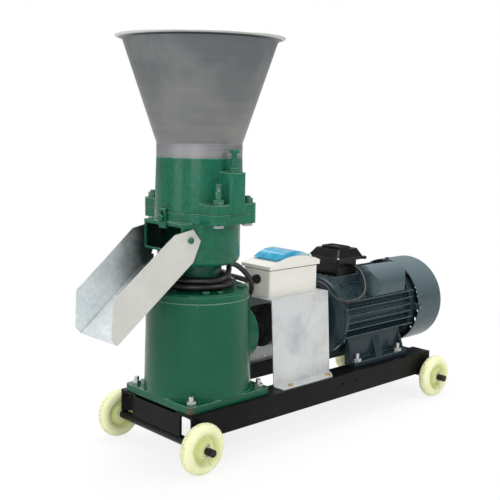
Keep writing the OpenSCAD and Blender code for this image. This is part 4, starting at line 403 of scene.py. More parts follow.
    def edges(self, radius, share=1.0):
        """Mask that rises along sharp edges."""
        made = self.node("ShaderNodeVectorMath", operation="DOT_PRODUCT")
        self.put(made.inputs[0], self.rounded(radius))
        self.put(made.inputs[1], self.node("ShaderNodeNewGeometry").outputs["Normal"])
        return self.span(made.outputs["Value"], *EDGE_COSINES, 0, share)

    def lit_edges(self, radius, share):
        """Mask of the edges that a soft light from above picks out."""
        lit = self.span(self.axis("Z", self.rounded(radius)), *LIT_SLOPES)
        return self.times(self.edges(radius, share), lit)

    def spot(self, centre, radius, share=1.0, scale=160):
        """Mask of a ragged spot, its centre and radius in millimetres as place takes them."""
        radius = radius / MM_PER_M
        away = self.node("ShaderNodeVectorMath", operation="DISTANCE")
        self.put(away.inputs[0], self.coordinates)
        away.inputs[1].default_value = place(*centre)
        noise = self.noise(scale, 4, 0.7)
        ragged = self.math("MULTIPLY_ADD", noise, SPOT_WANDER * radius, away.outputs["Value"])
        return self.span(ragged, SPOT_REACH * radius, SPOT_CORE * radius, 0, share)

    def bump(self, height, distance, normal=None):
        """Normal bent by a height that spans a distance in metres."""
        made = self.node("ShaderNodeBump")
        self.put(made.inputs["Height"], height)
        made.inputs["Distance"].default_value = distance
        made.inputs["Strength"].default_value = 1.0
        if normal is not None:
            self.put(made.inputs["Normal"], normal)
        return made.outputs["Normal"]

    def principled(self, **values):
        """The surface's shader, its sockets set by name with an underscore for each space."""
        made = self.node("ShaderNodeBsdfPrincipled")
        for key, value in values.items():
            self.put(made.inputs[key.replace("_", " ")], value)
        self.tree.links.new(made.outputs[0], self.output.inputs["Surface"])


def cast_enamel(
    name, light, dark, grain=0.0003, shine=(0.24, 0.36), edge_wear_and_highlight=(0.2, 0.36, 0.28),
    marks=None, soft=0.0022, coat=0.07,
):
    """Gloss enamel brushed over a sand casting: runs, specks, rubbed edges and painted edge highlights.
    """
    g = Graph(name)
    color = g.mix(g.patches(0.35, 0.68, 1, 7, 4, 0.55), dark, light)
    color = g.mix(g.patches(0.3, 0.75, 0.22, 60, 3, 0.6), color, light)
    runs = g.patches(0.55, 0.8, 0.3, 26, 3, 0.6, g.stretched((1, 1, 0.12)))
    color = g.mix(runs, color, dark)
    specks = g.patches(0.735, 0.76, 0.5, 330, 2, 0.5)
    color = g.mix(specks, color, tinted(dark, 0.35))
    # Paler edges: partly rubbed paint, partly a painted highlight.
    rubbed_and_lit = g.span(g.noise(120, 3, 0.6), 0.35, 0.65, 0.25, 1)
    color = g.mix(g.times(g.edges(0.0015, 0.5), rubbed_and_lit), color, edge_wear_and_highlight)
    # Painted highlight on the edges that face up, where a soft light from above would catch them.
    color = g.mix(g.lit_edges(1.25 * soft, 0.8), color, tinted(edge_wear_and_highlight, 1.35))
    if marks:
        color = marks(g, color)
    height = g.relief(g.noise(170, 4, 0.6), g.noise(620, 2, 0.5), 0.25)
    g.principled(
        Base_Color=color,
        Roughness=g.spread(g.noise(24, 3, 0.6), *shine),
        Specular_IOR_Level=0.2,
        Coat_Weight=coat,
        Coat_Roughness=0.12,
        Normal=g.bump(height, grain, g.rounded(soft)),
    )
    return g.material


def flat_enamel(name, light, dark, shine=(0.28, 0.4), dust=(0.05, 0.05, 0.05)):
    """Gloss enamel on rolled steel, with mill ripples under it and a little dust."""
    g = Graph(name)
    color = g.mix(g.patches(0.35, 0.7, 1, 9, 4, 0.6), dark, light)
    color = g.mix(g.patches(0.52, 0.8, 0.35, 38, 5, 0.65), color, dust)
    # Paler edges: partly rubbed paint, partly a painted highlight.
    rubbed_and_lit = g.times(g.edges(0.001, 0.4), g.patches(0.5, 0.7, 1, 150, 3, 0.6))
    color = g.mix(rubbed_and_lit, color, tinted(dust, 3))
    height = g.relief(g.noise(90, 3, 0.6), g.noise(500, 2, 0.5), 0.3)
    g.principled(
        Base_Color=color,
        Roughness=g.spread(g.noise(30, 3, 0.6), *shine),
        Specular_IOR_Level=0.1,
        Normal=g.bump(height, 0.0001, g.rounded(0.0008)),
    )
    return g.material


# Heights between which the hopper changes its look
CONE_FADE = (0.63, 0.79)
COLLAR_FADE = (0.6165, 0.6135)
# The dark band under the lip is a painted shadow, and the pale line on its top a painted highlight.
LIP_SHADOW_FADE = (0.8078, 0.8086)
LIP_HIGHLIGHT_FADE = (0.8112, 0.8122)


def spun_sheet(name):
    """Grey sheet of the hopper, spun on a lathe: fine rings, a darker top and a paler collar."""
    g = Graph(name)
    z = g.axis("Z")
    rings = g.streaks(4, 0.7, (7, 7, 620))
    bands = g.streaks(4, 0.65, (5, 5, 90))
    color = g.mix(g.span(z, *CONE_FADE), (0.198, 0.196, 0.187), (0.100, 0.110, 0.116))
    color = g.mix(g.span(bands, 0.42, 0.68, 0, 0.6), color, (0.125, 0.138, 0.145))
    color = g.mix(g.patches(0.45, 0.7, 0.5, 9, 4, 0.6), color, (0.26, 0.26, 0.25))
    color = g.mix(g.spread(rings, 0, 0.22), color, (0.095, 0.102, 0.106))
    color = g.mix(g.span(z, *COLLAR_FADE), color, (0.25, 0.252, 0.26))
    belts = g.span(g.streaks(3, 0.6, (4, 4, 260)), 0.45, 0.6, 0, 0.7)
    color = g.mix(g.times(g.span(z, *COLLAR_FADE), belts), color, (0.14, 0.142, 0.155))
    color = g.mix(g.span(z, *LIP_SHADOW_FADE), color, (0.045, 0.05, 0.053))
    # Painted highlight along the top of the lip.
    color = g.mix(g.span(z, *LIP_HIGHLIGHT_FADE), color, (0.62, 0.63, 0.60))
    # Painted sheen: paler where the surface is seen at a grazing angle.
    color = g.mix(g.grazing(0.3, 0.5, 0.95, 0.6), color, (0.42, 0.43, 0.44))
    # Painted highlight along the sharp edges.
    color = g.mix(g.edges(0.0008, 0.5), color, (0.62, 0.62, 0.62))
    g.principled(
        Base_Color=color,
        Metallic=0.45,
        Roughness=g.spread(rings, 0.4, 0.52),
        Normal=g.bump(g.relief(bands, rings, 0.35), 0.00012, g.rounded(0.0005)),
    )
    return g.material


def galvanised(name, pale, grey, stains):
    """Zinc coated sheet with faint spangle, cloudy patches, two stains and scuffs."""
    g = Graph(name)
    tone = g.spangle(60, 60, 0.012)
    cloud = g.patches(*NOISE_MIDDLE, 0.85, 14, 5, 0.62)
    color = g.mix(g.relief(cloud, tone, 0.15), grey, pale)
    bluish = g.patches(0.5, 0.7, 0.75, 17, 4, 0.6, g.stretched((1, 1, 1), (3, 1, 2)))
    color = g.mix(bluish, color, stains[0])
    brownish = g.patches(0.54, 0.74, 0.65, 11, 4, 0.65, g.stretched((1, 1, 1), (7, 5, 4)))
    color = g.mix(brownish, color, stains[1])
    scuffs = g.patches(0.62, 0.8, 0.25, 40, 4, 0.7, g.stretched((0.4, 8, 8)))
    color = g.mix(scuffs, color, tinted(grey, 0.6))
    height = g.relief(g.noise(45, 4, 0.6), tone, 0.4)
    g.principled(
        Base_Color=color,
        Metallic=0.35,
        Roughness=g.span(tone, 0, 1, 0.38, 0.5),
        Normal=g.bump(height, 0.00008, g.rounded(0.0005)),
    )
    return g.material


# Where the shade at the chute's upper end starts and is full, along X from its mouth at the duct
CHUTE_MOUTH_X = place(-88, 0, 0)[0]
CHUTE_SHADE = (CHUTE_MOUTH_X - 0.05, CHUTE_MOUTH_X + 0.02)
# Distances from the middle plane between which the chute's cheeks begin
CHEEK_FADE = (0.03, 0.04)


def chute_sheet(name):
    """The chute's sheet: bright spangle inside, a dull passivated face outside."""
    g = Graph(name)
    tone = g.spangle(150, 70, 0.02)
    patch = g.patches(*NOISE_MIDDLE, 0.55, 42, 5, 0.7)
    inside = g.mix(g.relief(patch, tone, 0.45), (0.61, 0.66, 0.67), (0.86, 0.89, 0.90))
    along = g.relief(g.axis("X"), g.noise(26, 4, 0.7), 0.05)
    inside = g.mix(g.span(along, *CHUTE_SHADE), inside, (0.035, 0.045, 0.045))
    outside = g.mix(g.patches(0.3, 0.72, 1, 16, 5, 0.65), (0.53, 0.53, 0.49), (0.64, 0.64, 0.59))
    outside = g.mix(g.patches(0.35, 0.7, 0.12, 210, 3, 0.6), outside, (0.42, 0.42, 0.39))
    y = g.axis("Y")
    outward = g.times(g.facing_axis("Y"), g.math("SIGN", y))
    face = g.times(g.span(outward, 0.5, 0.8), g.span(g.math("ABSOLUTE", y), *CHEEK_FADE))
    color = g.mix(face, inside, outside)
    color = g.mix(g.edges(0.0008, 0.5), color, (0.3, 0.3, 0.3))
    height = g.relief(g.noise(55, 4, 0.6), tone, 0.5)
    g.principled(
        Base_Color=color,
        Metallic=g.mix(face, (0.35,) * 3, (0.25,) * 3),
        Roughness=g.mix(face, g.mix(tone, (0.3,) * 3, (0.46,) * 3), (0.5,) * 3),
        Normal=g.bump(height, 0.00008, g.rounded(0.0004)),
    )
    return g.material


def moulded(name, light, dark, rough=(0.32, 0.42), soil=None, gloss=0.4, edge=None, marks=None):
    """Moulded plastic with a fine spark texture."""
    g = Graph(name)
    color = g.mix(g.spread(g.noise(12, 3, 0.6)), dark, light)
    color = g.mix(g.patches(0.4, 0.7, 0.15, 260, 2, 0.5), color, dark)
    if soil:
        color = g.mix(g.patches(0.6, 0.78, 0.35, 70, 4, 0.7), color, soil)
    # Edges in the colour edge: a painted highlight on the black moulding, darker and browner on the white
    # one.
    if edge:
        color = g.mix(g.edges(0.0011, 0.75), color, edge)
    if marks:
        color = marks(g, color)
    height = g.relief(g.noise(700, 2, 0.5), g.noise(45, 2, 0.5), 0.6)
    g.principled(
        Base_Color=color,
        Roughness=g.spread(g.noise(50, 3, 0.6), *rough),
        Specular_IOR_Level=gloss,
        Normal=g.bump(height, 0.00004, g.rounded(0.0009)),
    )
    return g.material


def metal(name, light, dark, rough=(0.22, 0.4), scale=(300, 300, 300)):
    """Bare or plated steel with turning marks and a little staining."""
    g = Graph(name)
    marks = g.streaks(3, 0.65, scale)
    color = g.mix(g.spread(marks), dark, light)
    color = g.mix(g.patches(0.55, 0.78, 0.45, 90, 4, 0.65), color, tinted(dark, 0.55))
    g.principled(
        Base_Color=color,
        Metallic=0.95,
        Roughness=g.spread(marks, *rough),
        Normal=g.bump(marks, 0.00003, g.rounded(0.0004)),
    )
    return g.material


def brushed_over(name, paint, low, high, least=0.0):
    """Zinc plated bolts under enamel that is full above the height high and least below low."""
    g = Graph(name)
    marks = g.noise(300, 3, 0.65)
    bare = g.mix(g.spread(marks), (0.42, 0.43, 0.45), (0.66, 0.67, 0.68))
    kept = g.math("SUBTRACT", 1.0, g.patches(0.56, 0.68, 0.8, 150, 4, 0.65))
    cover = g.times(g.span(g.axis("Z"), low, high, least, 1), kept)
    coat = g.mix(g.patches(0.3, 0.75, 1, 60, 3, 0.6), tinted(paint, 0.7), paint)
    g.principled(
        Base_Color=g.mix(cover, bare, coat),
        Metallic=g.span(cover, 0, 1, 0.95, 0),
        Roughness=g.spread(marks, 0.24, 0.4),
        Normal=g.bump(marks, 0.00003, g.rounded(0.0004)),
    )
    return g.material


def rubber(name):
    """Black rubber sheath with a dull bloom and faint ridges."""
    g = Graph(name)
    bloom = g.noise(30, 4, 0.6)
    color = g.mix(g.span(bloom, 0.35, 0.75), (0.006, 0.0055, 0.007), (0.022, 0.02, 0.025))
    color = g.mix(g.patches(0.62, 0.8, 0.4, 240, 4, 0.7), color, (0.08, 0.078, 0.075))
    g.principled(
        Base_Color=color,
        Roughness=g.spread(bloom, 0.34, 0.48),
        Normal=g.bump(g.relief(g.noise(140, 3, 0.6), g.noise(700, 2, 0.5), 0.3), 0.00016),
    )
    return g.material


def clear_blue(name):
    """Clear tinted plastic window flap, streaked with painted highlight, with a paler end over the lid.
    """
    g = Graph(name)
    color = g.mix(g.spread(g.noise(20, 2, 0.5)), (0.02, 0.46, 0.74), (0.05, 0.58, 0.84))
    # Painted sheen, paler at grazing angles.
    color = g.mix(g.grazing(0.35, 0.45, 0.92, 0.8), color, (0.72, 0.88, 0.93))
    # Painted highlights in soft streaks.
    streaks = g.span(g.streaks(2, 0.5, (22, 95, 22)), 0.45, 0.7, 0, 0.5)
    color = g.mix(streaks, color, (0.45, 0.80, 0.92))
    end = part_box("window_flap")[1][0]
    color = g.mix(g.span(g.axis("X"), end - 0.05, end - 0.015, 0, 0.85), color, (0.74, 0.87, 0.91))
    g.principled(
        Base_Color=color,
        Roughness=0.08,
        Transmission_Weight=0.5,
        IOR=1.3,
        Normal=g.bump(g.noise(60, 2, 0.5), 0.00008, g.rounded(0.0006)),
    )
    return g.material


# Radii between which the wheel's dish deepens and its parting line shows
DISH_FADE = (0.036, 0.03)
PARTING_FADE = (0.0475, 0.0492)


def nylon_wheel(name, centre):
    """Cast nylon wheel: a creamy tread, a deeper tint in the dish and grime on the parting line."""
    g = Graph(name)
    x = g.math("SUBTRACT", g.axis("X"), centre[0])
    z = g.math("SUBTRACT", g.axis("Z"), centre[2])
    radius = g.math("SQRT", g.math("ADD", g.times(x, x), g.times(z, z)))
    cloud = g.noise(45, 4, 0.6)
    color = g.mix(g.spread(cloud), (0.76, 0.78, 0.42), (0.86, 0.87, 0.56))
    color = g.mix(g.span(radius, *DISH_FADE, 0, 0.55), color, (0.60, 0.66, 0.24))
    parting = g.times(g.span(radius, *PARTING_FADE), g.patches(0.5, 0.66, 0.6, 170, 4, 0.7))
    color = g.mix(parting, color, (0.20, 0.19, 0.09))
    color = g.mix(g.patches(0.62, 0.8, 0.3, 90, 5, 0.7), color, (0.42, 0.42, 0.24))
    height = g.relief(g.noise(130, 3, 0.6), g.noise(600, 2, 0.5), 0.3)
    g.principled(
        Base_Color=color,
        Roughness=g.spread(cloud, 0.4, 0.52),
        Subsurface_Weight=0.15,
        Subsurface_Radius=(0.004, 0.004, 0.0015),
        Subsurface_Scale=1.0,
        Normal=g.bump(height, 0.00012, g.rounded(0.001)),
    )
    return g.material


# Marks of single pieces, laid over the colour of their material

FOOT_RUST = ((-104, -104, 112), 15)
COVER_CHIP = ((88, -52, 324), 3)
# Height of a painted highlight along the seam under the gearbox's cover
COVER_SEAM_HIGHLIGHT_Z = 0.3115
HEAD_JOINT_Z = 0.484
# Heights over which the head grows darker towards the bottom: partly grime, partly painted shade
HEAD_GRIME_AND_SHADE_FADE = (0.47, 0.41)
DUCT_RIVET = ((-76.4, 55.5, 435.2), 1.3)
# The inside of the duct, made nearly black as painted shade: its fades along X, Y and Z
DUCT_SHADE_X = ((place(-88, 0, 0)[0], place(-84, 0, 0)[0]), (place(40, 0, 0)[0], place(50, 0, 0)[0]))
DUCT_SHADE_Y = ((-0.0574, -0.0568), (0.0568, 0.0574))
DUCT_SHADE_Z = ((0.4105, 0.4112), (0.4595, 0.4602))


def gearbox_marks(g, color):
    """A rusty corner of the foot, a chip on the cover and a painted highlight on the seam under it."""
    color = g.mix(g.spot(*FOOT_RUST, 0.8), color, (0.10, 0.062, 0.04))
    color = g.mix(g.spot(*COVER_CHIP), color, (0.5, 0.52, 0.5))
    # Painted highlight: a pale line where the ledge under the cover would catch the light.
    return g.mix(g.band("Z", COVER_SEAM_HIGHLIGHT_Z, 0.0012, 0.0005, 0.6), color, (0.16, 0.3, 0.22))


def head_marks(g, color):
    """Rough brushwork, painted glints, the halves' joint, grime and painted shade low, painted shade in
    the duct.
    """
    # Painted glints: pale flecks where the rough paint would catch the light.
    color = g.mix(g.patches(0.6, 0.7, 0.55, 190, 3, 0.6), color, (0.06, 0.26, 0.17))
    shade = g.patches(0.56, 0.7, 0.6, 95, 3, 0.65, g.stretched((1, 1, 1), (4, 2, 9)))
    color = g.mix(shade, color, (0.002, 0.055, 0.028))
    color = g.mix(g.band("Z", HEAD_JOINT_Z, 0.0009, 0.0004, 0.8), color, (0.004, 0.03, 0.018))
    # Darker towards the bottom: partly grime, partly painted shade where less light falls.
    low_down = g.span(g.axis("Z"), *HEAD_GRIME_AND_SHADE_FADE, 0, 0.75)
    grime = g.times(low_down, g.patches(0.35, 0.7, 1, 22, 5, 0.7))
    color = g.mix(grime, color, (0.012, 0.065, 0.04))
    # Painted shade: the inside of the duct made nearly black.
    duct = g.times(g.within("X", *DUCT_SHADE_X), g.times(g.within("Y", *DUCT_SHADE_Y), g.within("Z", *DUCT_SHADE_Z)))
    color = g.mix(g.times(duct, 0.93), color, (0.002, 0.004, 0.003))
    return g.mix(g.spot(*DUCT_RIVET, scale=400), color, (0.3, 0.32, 0.3))


def lid_shade(g, color):
    """The dark line under the overhang of the control box's lid."""
    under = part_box("control_lid")[0][2]
    line = g.within("Z", (under - 0.0034, under - 0.002), (under - 0.0002, under))
    return g.mix(g.times(line, 0.8), color, (0.06, 0.05, 0.04))


def painted_top_light(g, color):
    """Painted light: the upper side of the cowl and the hood made paler, as by a light from above."""
    return g.mix(g.span(g.facing_axis("Z"), 0.1, 1.0, 0, 0.55), color, (0.15, 0.195, 0.21))


# The gearbox's enamel is a darker copy of the head's: painted shade for the lower parts, which get less
# light.
green = cast_enamel(
    "green enamel", light=(0.005, 0.098, 0.048), dark=(0.002, 0.070, 0.033), marks=gearbox_marks
)
head_green = cast_enamel(
    "head enamel", light=(0.006, 0.132, 0.073), dark=(0.003, 0.092, 0.048), grain=0.0008,
    marks=head_marks, soft=0.0035, coat=0.2,
)
motor_paint = cast_enamel(
    "motor enamel", light=(0.024, 0.043, 0.050), dark=(0.013, 0.027, 0.033), grain=0.0002,
    shine=(0.2, 0.32), edge_wear_and_highlight=(0.13, 0.19, 0.21),
)
sheet_paint = cast_enamel(
    "cowl enamel", light=(0.060, 0.093, 0.100), dark=(0.046, 0.074, 0.081), grain=0.00008,
    shine=(0.22, 0.34), edge_wear_and_highlight=(0.2, 0.26, 0.28), marks=painted_top_light,
)
frame_paint = flat_enamel(
    "frame enamel", light=(0.006, 0.006, 0.0065), dark=(0.003, 0.003, 0.0035),
    dust=(0.018, 0.018, 0.018),
)
coupling_iron = flat_enamel(
    "coupling iron", light=(0.03, 0.03, 0.031), dark=(0.012, 0.012, 0.013), shine=(0.35, 0.5)
)
hopper_metal = spun_sheet("spun sheet")
bracket_metal = galvanised(
    "bracket sheet", pale=(0.66, 0.675, 0.67), grey=(0.55, 0.565, 0.565),
    stains=((0.38, 0.42, 0.455), (0.47, 0.435, 0.375)),
)
chute_metal = chute_sheet("chute sheet")
white_plastic = moulded(
    "white moulding", light=(0.76, 0.745, 0.685), dark=(0.70, 0.685, 0.62),
    soil=(0.4, 0.38, 0.33), edge=(0.62, 0.55, 0.45), marks=lid_shade,
)
breaker_plastic = moulded("breaker moulding", light=(0.80, 0.79, 0.76), dark=(0.74, 0.73, 0.70))
black_plastic = moulded(
    "black moulding", light=(0.006, 0.0055, 0.007), dark=(0.003, 0.003, 0.0035),
    rough=(0.22, 0.32), gloss=0.22, edge=(0.12, 0.11, 0.125),
)
window_blue = clear_blue("clear blue moulding")
zinc = metal("zinc plate", light=(0.66, 0.67, 0.68), dark=(0.42, 0.43, 0.45))
yellow_zinc = metal("yellow zinc plate", light=(0.72, 0.55, 0.26), dark=(0.50, 0.36, 0.15))
turned_steel = metal(
    "turned steel", light=(0.55, 0.555, 0.56), dark=(0.38, 0.385, 0.39), rough=(0.2, 0.34),
    scale=(40, 40, 900),
)
hard_steel = metal(
    "hardened steel", light=(0.34, 0.345, 0.36), dark=(0.20, 0.205, 0.22), rough=(0.25, 0.4)
)
axle_steel = metal(
    "axle bar", light=(0.05, 0.05, 0.053), dark=(0.015, 0.015, 0.018), rough=(0.4, 0.55),
    scale=(80, 900, 80),
)
pale_wire = metal("pin wire", light=(0.70, 0.68, 0.62), dark=(0.48, 0.46, 0.42), rough=(0.25, 0.4))
sheath = rubber("rubber sheath")
flange_plate = brushed_over("flange bolts", (0.018, 0.14, 0.08), low=0.47, high=0.475, least=0.45)
motor_plate = brushed_over("motor bolts", (0.045, 0.072, 0.081), low=0.15, high=0.155)

MATERIALS = {
    green: ["gearbox_body", "gearbox_cover", "cover_bolts", "input_cap"],
    head_green: [
        "upper_chamber", "discharge_housing", "lock_nuts", "adjusting_screws", "chute_screws",
        "cutter_blade",
    ],
    motor_paint: ["motor_frame", "front_bell", "rear_bell"],
    sheet_paint: ["fan_cowl", "capacitor_hood"],
    frame_paint: ["rail_near", "rail_far", "cross_members"],
    hopper_metal: ["hopper"],
    bracket_metal: ["box_bracket"],
    chute_metal: ["chute"],
    white_plastic: ["control_box", "control_lid"],
    breaker_plastic: ["breaker"],
    black_plastic: [
        "terminal_box", "terminal_lid", "cord_gland", "breaker_toggle", "cooling_fan", "plug",
    ],
    window_blue: ["window_flap"],
    zinc: ["base_bolts"],
    coupling_iron: ["motor_hub", "pinion_hub", "coupling_pins"],
    flange_plate: ["flange_bolts"],
    motor_plate: ["motor_bolts"],
    yellow_zinc: ["bracket_screws"],
    turned_steel: [
        "bearings", "rotor_shaft", "pinion_shaft", "bevel_gear", "main_shaft", "roller_shaft",
        "die_nut",
    ],
    hard_steel: ["die_plate", "thrower_disc", "roller_near", "roller_far"],
    axle_steel: ["axles"],
}

# The wheels and the side of the machine that each is on
WHEELS = {"wheel_front_near": -1, "wheel_front_far": 1, "wheel_rear_near": -1, "wheel_rear_far": 1}


def dress(name, material):
    """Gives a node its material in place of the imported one."""
    mesh = nodes[name].data
    mesh.materials.clear()
    mesh.materials.append(material)


for material, names in MATERIALS.items():
    for name in names:
        dress(name, material)
for name in WHEELS:
    low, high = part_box(name)
    dress(name, nylon_wheel(name.replace("_", " "), (Vector(low) + Vector(high)) / 2))


# The power cord and the motor lead

def make_cords():
    """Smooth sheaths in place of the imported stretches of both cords."""
    run = smooth_run(cord_route(), CORD_STEPS)
    cord = build("power_cord", [swept(run, CORD_DIAMETER / 2 / MM_PER_M, CORD_SIDES)], sheath)
    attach(cord, "machine")
    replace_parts(cord, "cord_lead", "cord_coil", "cord_arch")
    lead_run = smooth_run([place(*p) for p in MOTOR_LEAD_ROUTE], MOTOR_LEAD_STEPS)
    lead_radius = MOTOR_LEAD_DIAMETER / 2 / MM_PER_M
    lead = build("motor_lead_sheath", [swept(lead_run, lead_radius, CORD_SIDES)], sheath)
    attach(lead, "machine")
    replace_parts(lead, "motor_lead")


make_cords()


# Small details

# Pan head with a rounded rim and a sunken middle, as shares of its radius and height
SCREW_PROFILE = [(1, 0), (1, 0.5), (0.86, 0.85), (0.6, 1), (0.42, 1), (0.36, 0.55)]
SCREW_SIDES = 20
# Sides of thin wires and of thicker beads
WIRE_SIDES = 8
BEAD_SIDES = 10


def screw_shape(centre, axis, radius, height):
    """Screw head that stands at centre and rises along axis."""
    profile = [(radius * r, height * h) for r, h in SCREW_PROFILE]
    return turned(centre, axis, profile, SCREW_SIDES)


def detail(name, shapes, material, slot, body="machine"):
    """A small piece with its material that rides on a body; its slot is not used."""
    piece = build(name, shapes, material)
    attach(piece, body)
    return piece


def arc(radius, z, start, end, steps):
    """Points along an arc about the tower's axis, its angles in degrees."""
    angles = [math.radians(start + (end - start) * i / steps) for i in range(steps + 1)]
    return [place(radius * math.cos(a), radius * math.sin(a), z) for a in angles]


# Beads where the gearbox's wall meets its foot: reach, height, and start and end in each quarter
FOOT_BEAD_REACH = 109.5
FOOT_BEAD_Z = 122.4
FOOT_BEAD_ANGLES = (22, 68)
FOOT_BEAD_STEPS = 24
FOOT_BEAD_RADIUS = 0.0022
# Gasket that stands out under the cover. It ends short of a full ring.
GASKET_REACH = 102.6
GASKET_Z = 311.9
GASKET_END_ANGLE = 354
GASKET_STEPS = 96
GASKET_RADIUS = 0.0009


def add_beads():
    """Beads over the foot of the gearbox and the gasket of its cover."""
    beads = []
    for quarter in (0, 90, 180, 270):
        start, end = [quarter + angle for angle in FOOT_BEAD_ANGLES]
        run = arc(FOOT_BEAD_REACH, FOOT_BEAD_Z, start, end, FOOT_BEAD_STEPS)
        beads.append(swept(run, FOOT_BEAD_RADIUS, BEAD_SIDES))
    detail("foot_beads", beads, green, "green_paint")
    rim = arc(GASKET_REACH, GASKET_Z, 0, GASKET_END_ANGLE, GASKET_STEPS)
    detail("cover_gasket", [swept(rim, GASKET_RADIUS, WIRE_SIDES)], green, "green_paint")


MOTOR_AXIS_Z = 219.8
# Ridges round the front of the motor, as (place along X, reach from its axis, radius of the
# ridge), and the angle that they span about the top
RIDGE_RINGS = [(353.5, 91.6, 0.0014), (363.0, 91.6, 0.0014), (371.0, 83.2, 0.0022)]
RING_SPREAD = 150
RING_STEPS = 40
# Ribs on the frame, as points of (place along X, degrees from the top), on both sides
RIDGE_RIBS = [
    [(382, 32), (408, 32), (434, 32)],
    [(405, 37), (408, 47), (415, 56)],
    [(456, 26), (451, 37), (449, 48)],
]
RIB_REACH = 82.4
RIB_RADIUS = 0.0018
EARTH_SCREW_X = 606
EARTH_SCREW_ANGLE = 58
EARTH_SCREW_REACH = 81
EARTH_SCREW_SIZE = 0.004


def on_motor(x, degrees, radius):
    """Point round the motor's axis, its angle from the top towards the near side."""
    angle = math.radians(degrees)
    return place(x, -radius * math.sin(angle), MOTOR_AXIS_Z + radius * math.cos(angle))


def add_casting_ridges():
    """Ridges and ribs cast on the motor, and its earth screw."""
    shapes = []
    angles = [-RING_SPREAD / 2 + RING_SPREAD * i / RING_STEPS for i in range(RING_STEPS + 1)]
    for x, reach, radius in RIDGE_RINGS:
        shapes.append(swept([on_motor(x, a, reach) for a in angles], radius, BEAD_SIDES))
    for side in (-1, 1):
        for rib in RIDGE_RIBS:
            points = [on_motor(x, side * a, RIB_REACH) for x, a in rib]
            shapes.append(swept(points, RIB_RADIUS, BEAD_SIDES))
    detail("casting_ridges", shapes, motor_paint, "motor_paint")
    foot = on_motor(EARTH_SCREW_X, EARTH_SCREW_ANGLE, EARTH_SCREW_REACH)
    angle = math.radians(EARTH_SCREW_ANGLE)
    out = Vector((0, -math.sin(angle), math.cos(angle)))
    screw = screw_shape(foot, out, EARTH_SCREW_SIZE, EARTH_SCREW_SIZE)
    detail("earth_screw", [screw], zinc, "zinc_bolt")


# Two raised frames on top of the terminal box's lid, as half lengths along X and Y
LID_FRAMES = [(0.0185, 0.026), (0.0185 * 0.62, 0.026 * 0.72)]
LID_FRAME_SHIFT = 0.001
LID_FRAME_LIFT = 0.0002
LID_FRAME_RADIUS = 0.0012
# Shares of a side at which its points lie. The gaps left at the corners round them.
LID_FRAME_SHARES = (0.06, 0.5, 0.94)


def add_lid_frame():
    """One frame inside the other on the terminal box's lid."""
    low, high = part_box("terminal_lid")
    middle = (Vector(low) + Vector(high)) / 2
    top = high[2] + LID_FRAME_LIFT
    shapes = []
    for x, y in LID_FRAMES:
        corners = [(-x, -y), (x, -y), (x, y), (-x, y), (-x, -y)]
        run = []
        for a, b in zip(corners, corners[1:]):
            run += [Vector(a).lerp(Vector(b), share) for share in LID_FRAME_SHARES]
        run.append(run[0])
        points = [Vector((middle.x - LID_FRAME_SHIFT + p[0], middle.y + p[1], top)) for p in run]
        shapes.append(swept(points, LID_FRAME_RADIUS, WIRE_SIDES))
    detail("lid_frame", shapes, black_plastic, "black_plastic")


# The chute at rest: its slope in degrees, its pivot, and the depth of its floor below the pivot
CHUTE_SLOPE = 38.96
CHUTE_PIVOT_X = -75.6
CHUTE_PIVOT_Z = 434.2
CHUTE_FLOOR_W = -35.8
# The floor's edges, as (place along the slope, half width) at the top and at the end
CHUTE_EDGE_TOP = (-42, 64.2)
CHUTE_EDGE_END = (-236, 57.7)
SEAM_INSETS = (0.9, 6.0)
SEAM_STEPS = 12
SEAM_RADIUS = 0.0008


def on_chute(u, y, w):
    """Point on the chute at rest: u runs up its slope and w square to its floor."""
    slope = math.radians(CHUTE_SLOPE)
    x = CHUTE_PIVOT_X + u * math.cos(slope) - w * math.sin(slope)
    return place(x, y, CHUTE_PIVOT_Z + u * math.sin(slope) + w * math.cos(slope))


def add_chute_seams():
    """Two folded seams along each edge of the chute's floor."""
    shapes = []
    for side in (-1, 1):
        for inset in SEAM_INSETS:
            top, end = [
                on_chute(u, side * (half - inset), CHUTE_FLOOR_W)
                for u, half in (CHUTE_EDGE_TOP, CHUTE_EDGE_END)
            ]
            run = [top.lerp(end, i / SEAM_STEPS) for i in range(SEAM_STEPS + 1)]
            shapes.append(swept(run, SEAM_RADIUS, WIRE_SIDES))
    detail("chute_seams", shapes, chute_metal, "chute_sheet", "chute")


# Split pins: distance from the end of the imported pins, the open eye, the doubled shank and the
# two legs that spread below it
PIN_INSET = 0.0045
PIN_EYE_Z = 0.0118
PIN_EYE_RADIUS = 0.0034
PIN_EYE_START = 15
PIN_EYE_STEPS = 20
PIN_SHANK = (0.0086, 0.004, -0.004, -0.0085)
PIN_SHANK_RADIUS = 0.00145
PIN_LEGS = [
    [(0, 0, 0.001), (-0.002, 0, -0.003), (-0.0075, 0, -0.0105), (-0.0145, 0, -0.0185)],
    [(0, 0, 0.001), (0.001, 0, -0.004), (0.0035, 0, -0.0125), (0.0078, 0, -0.0215)],
]
PIN_WIRE_RADIUS = 0.001


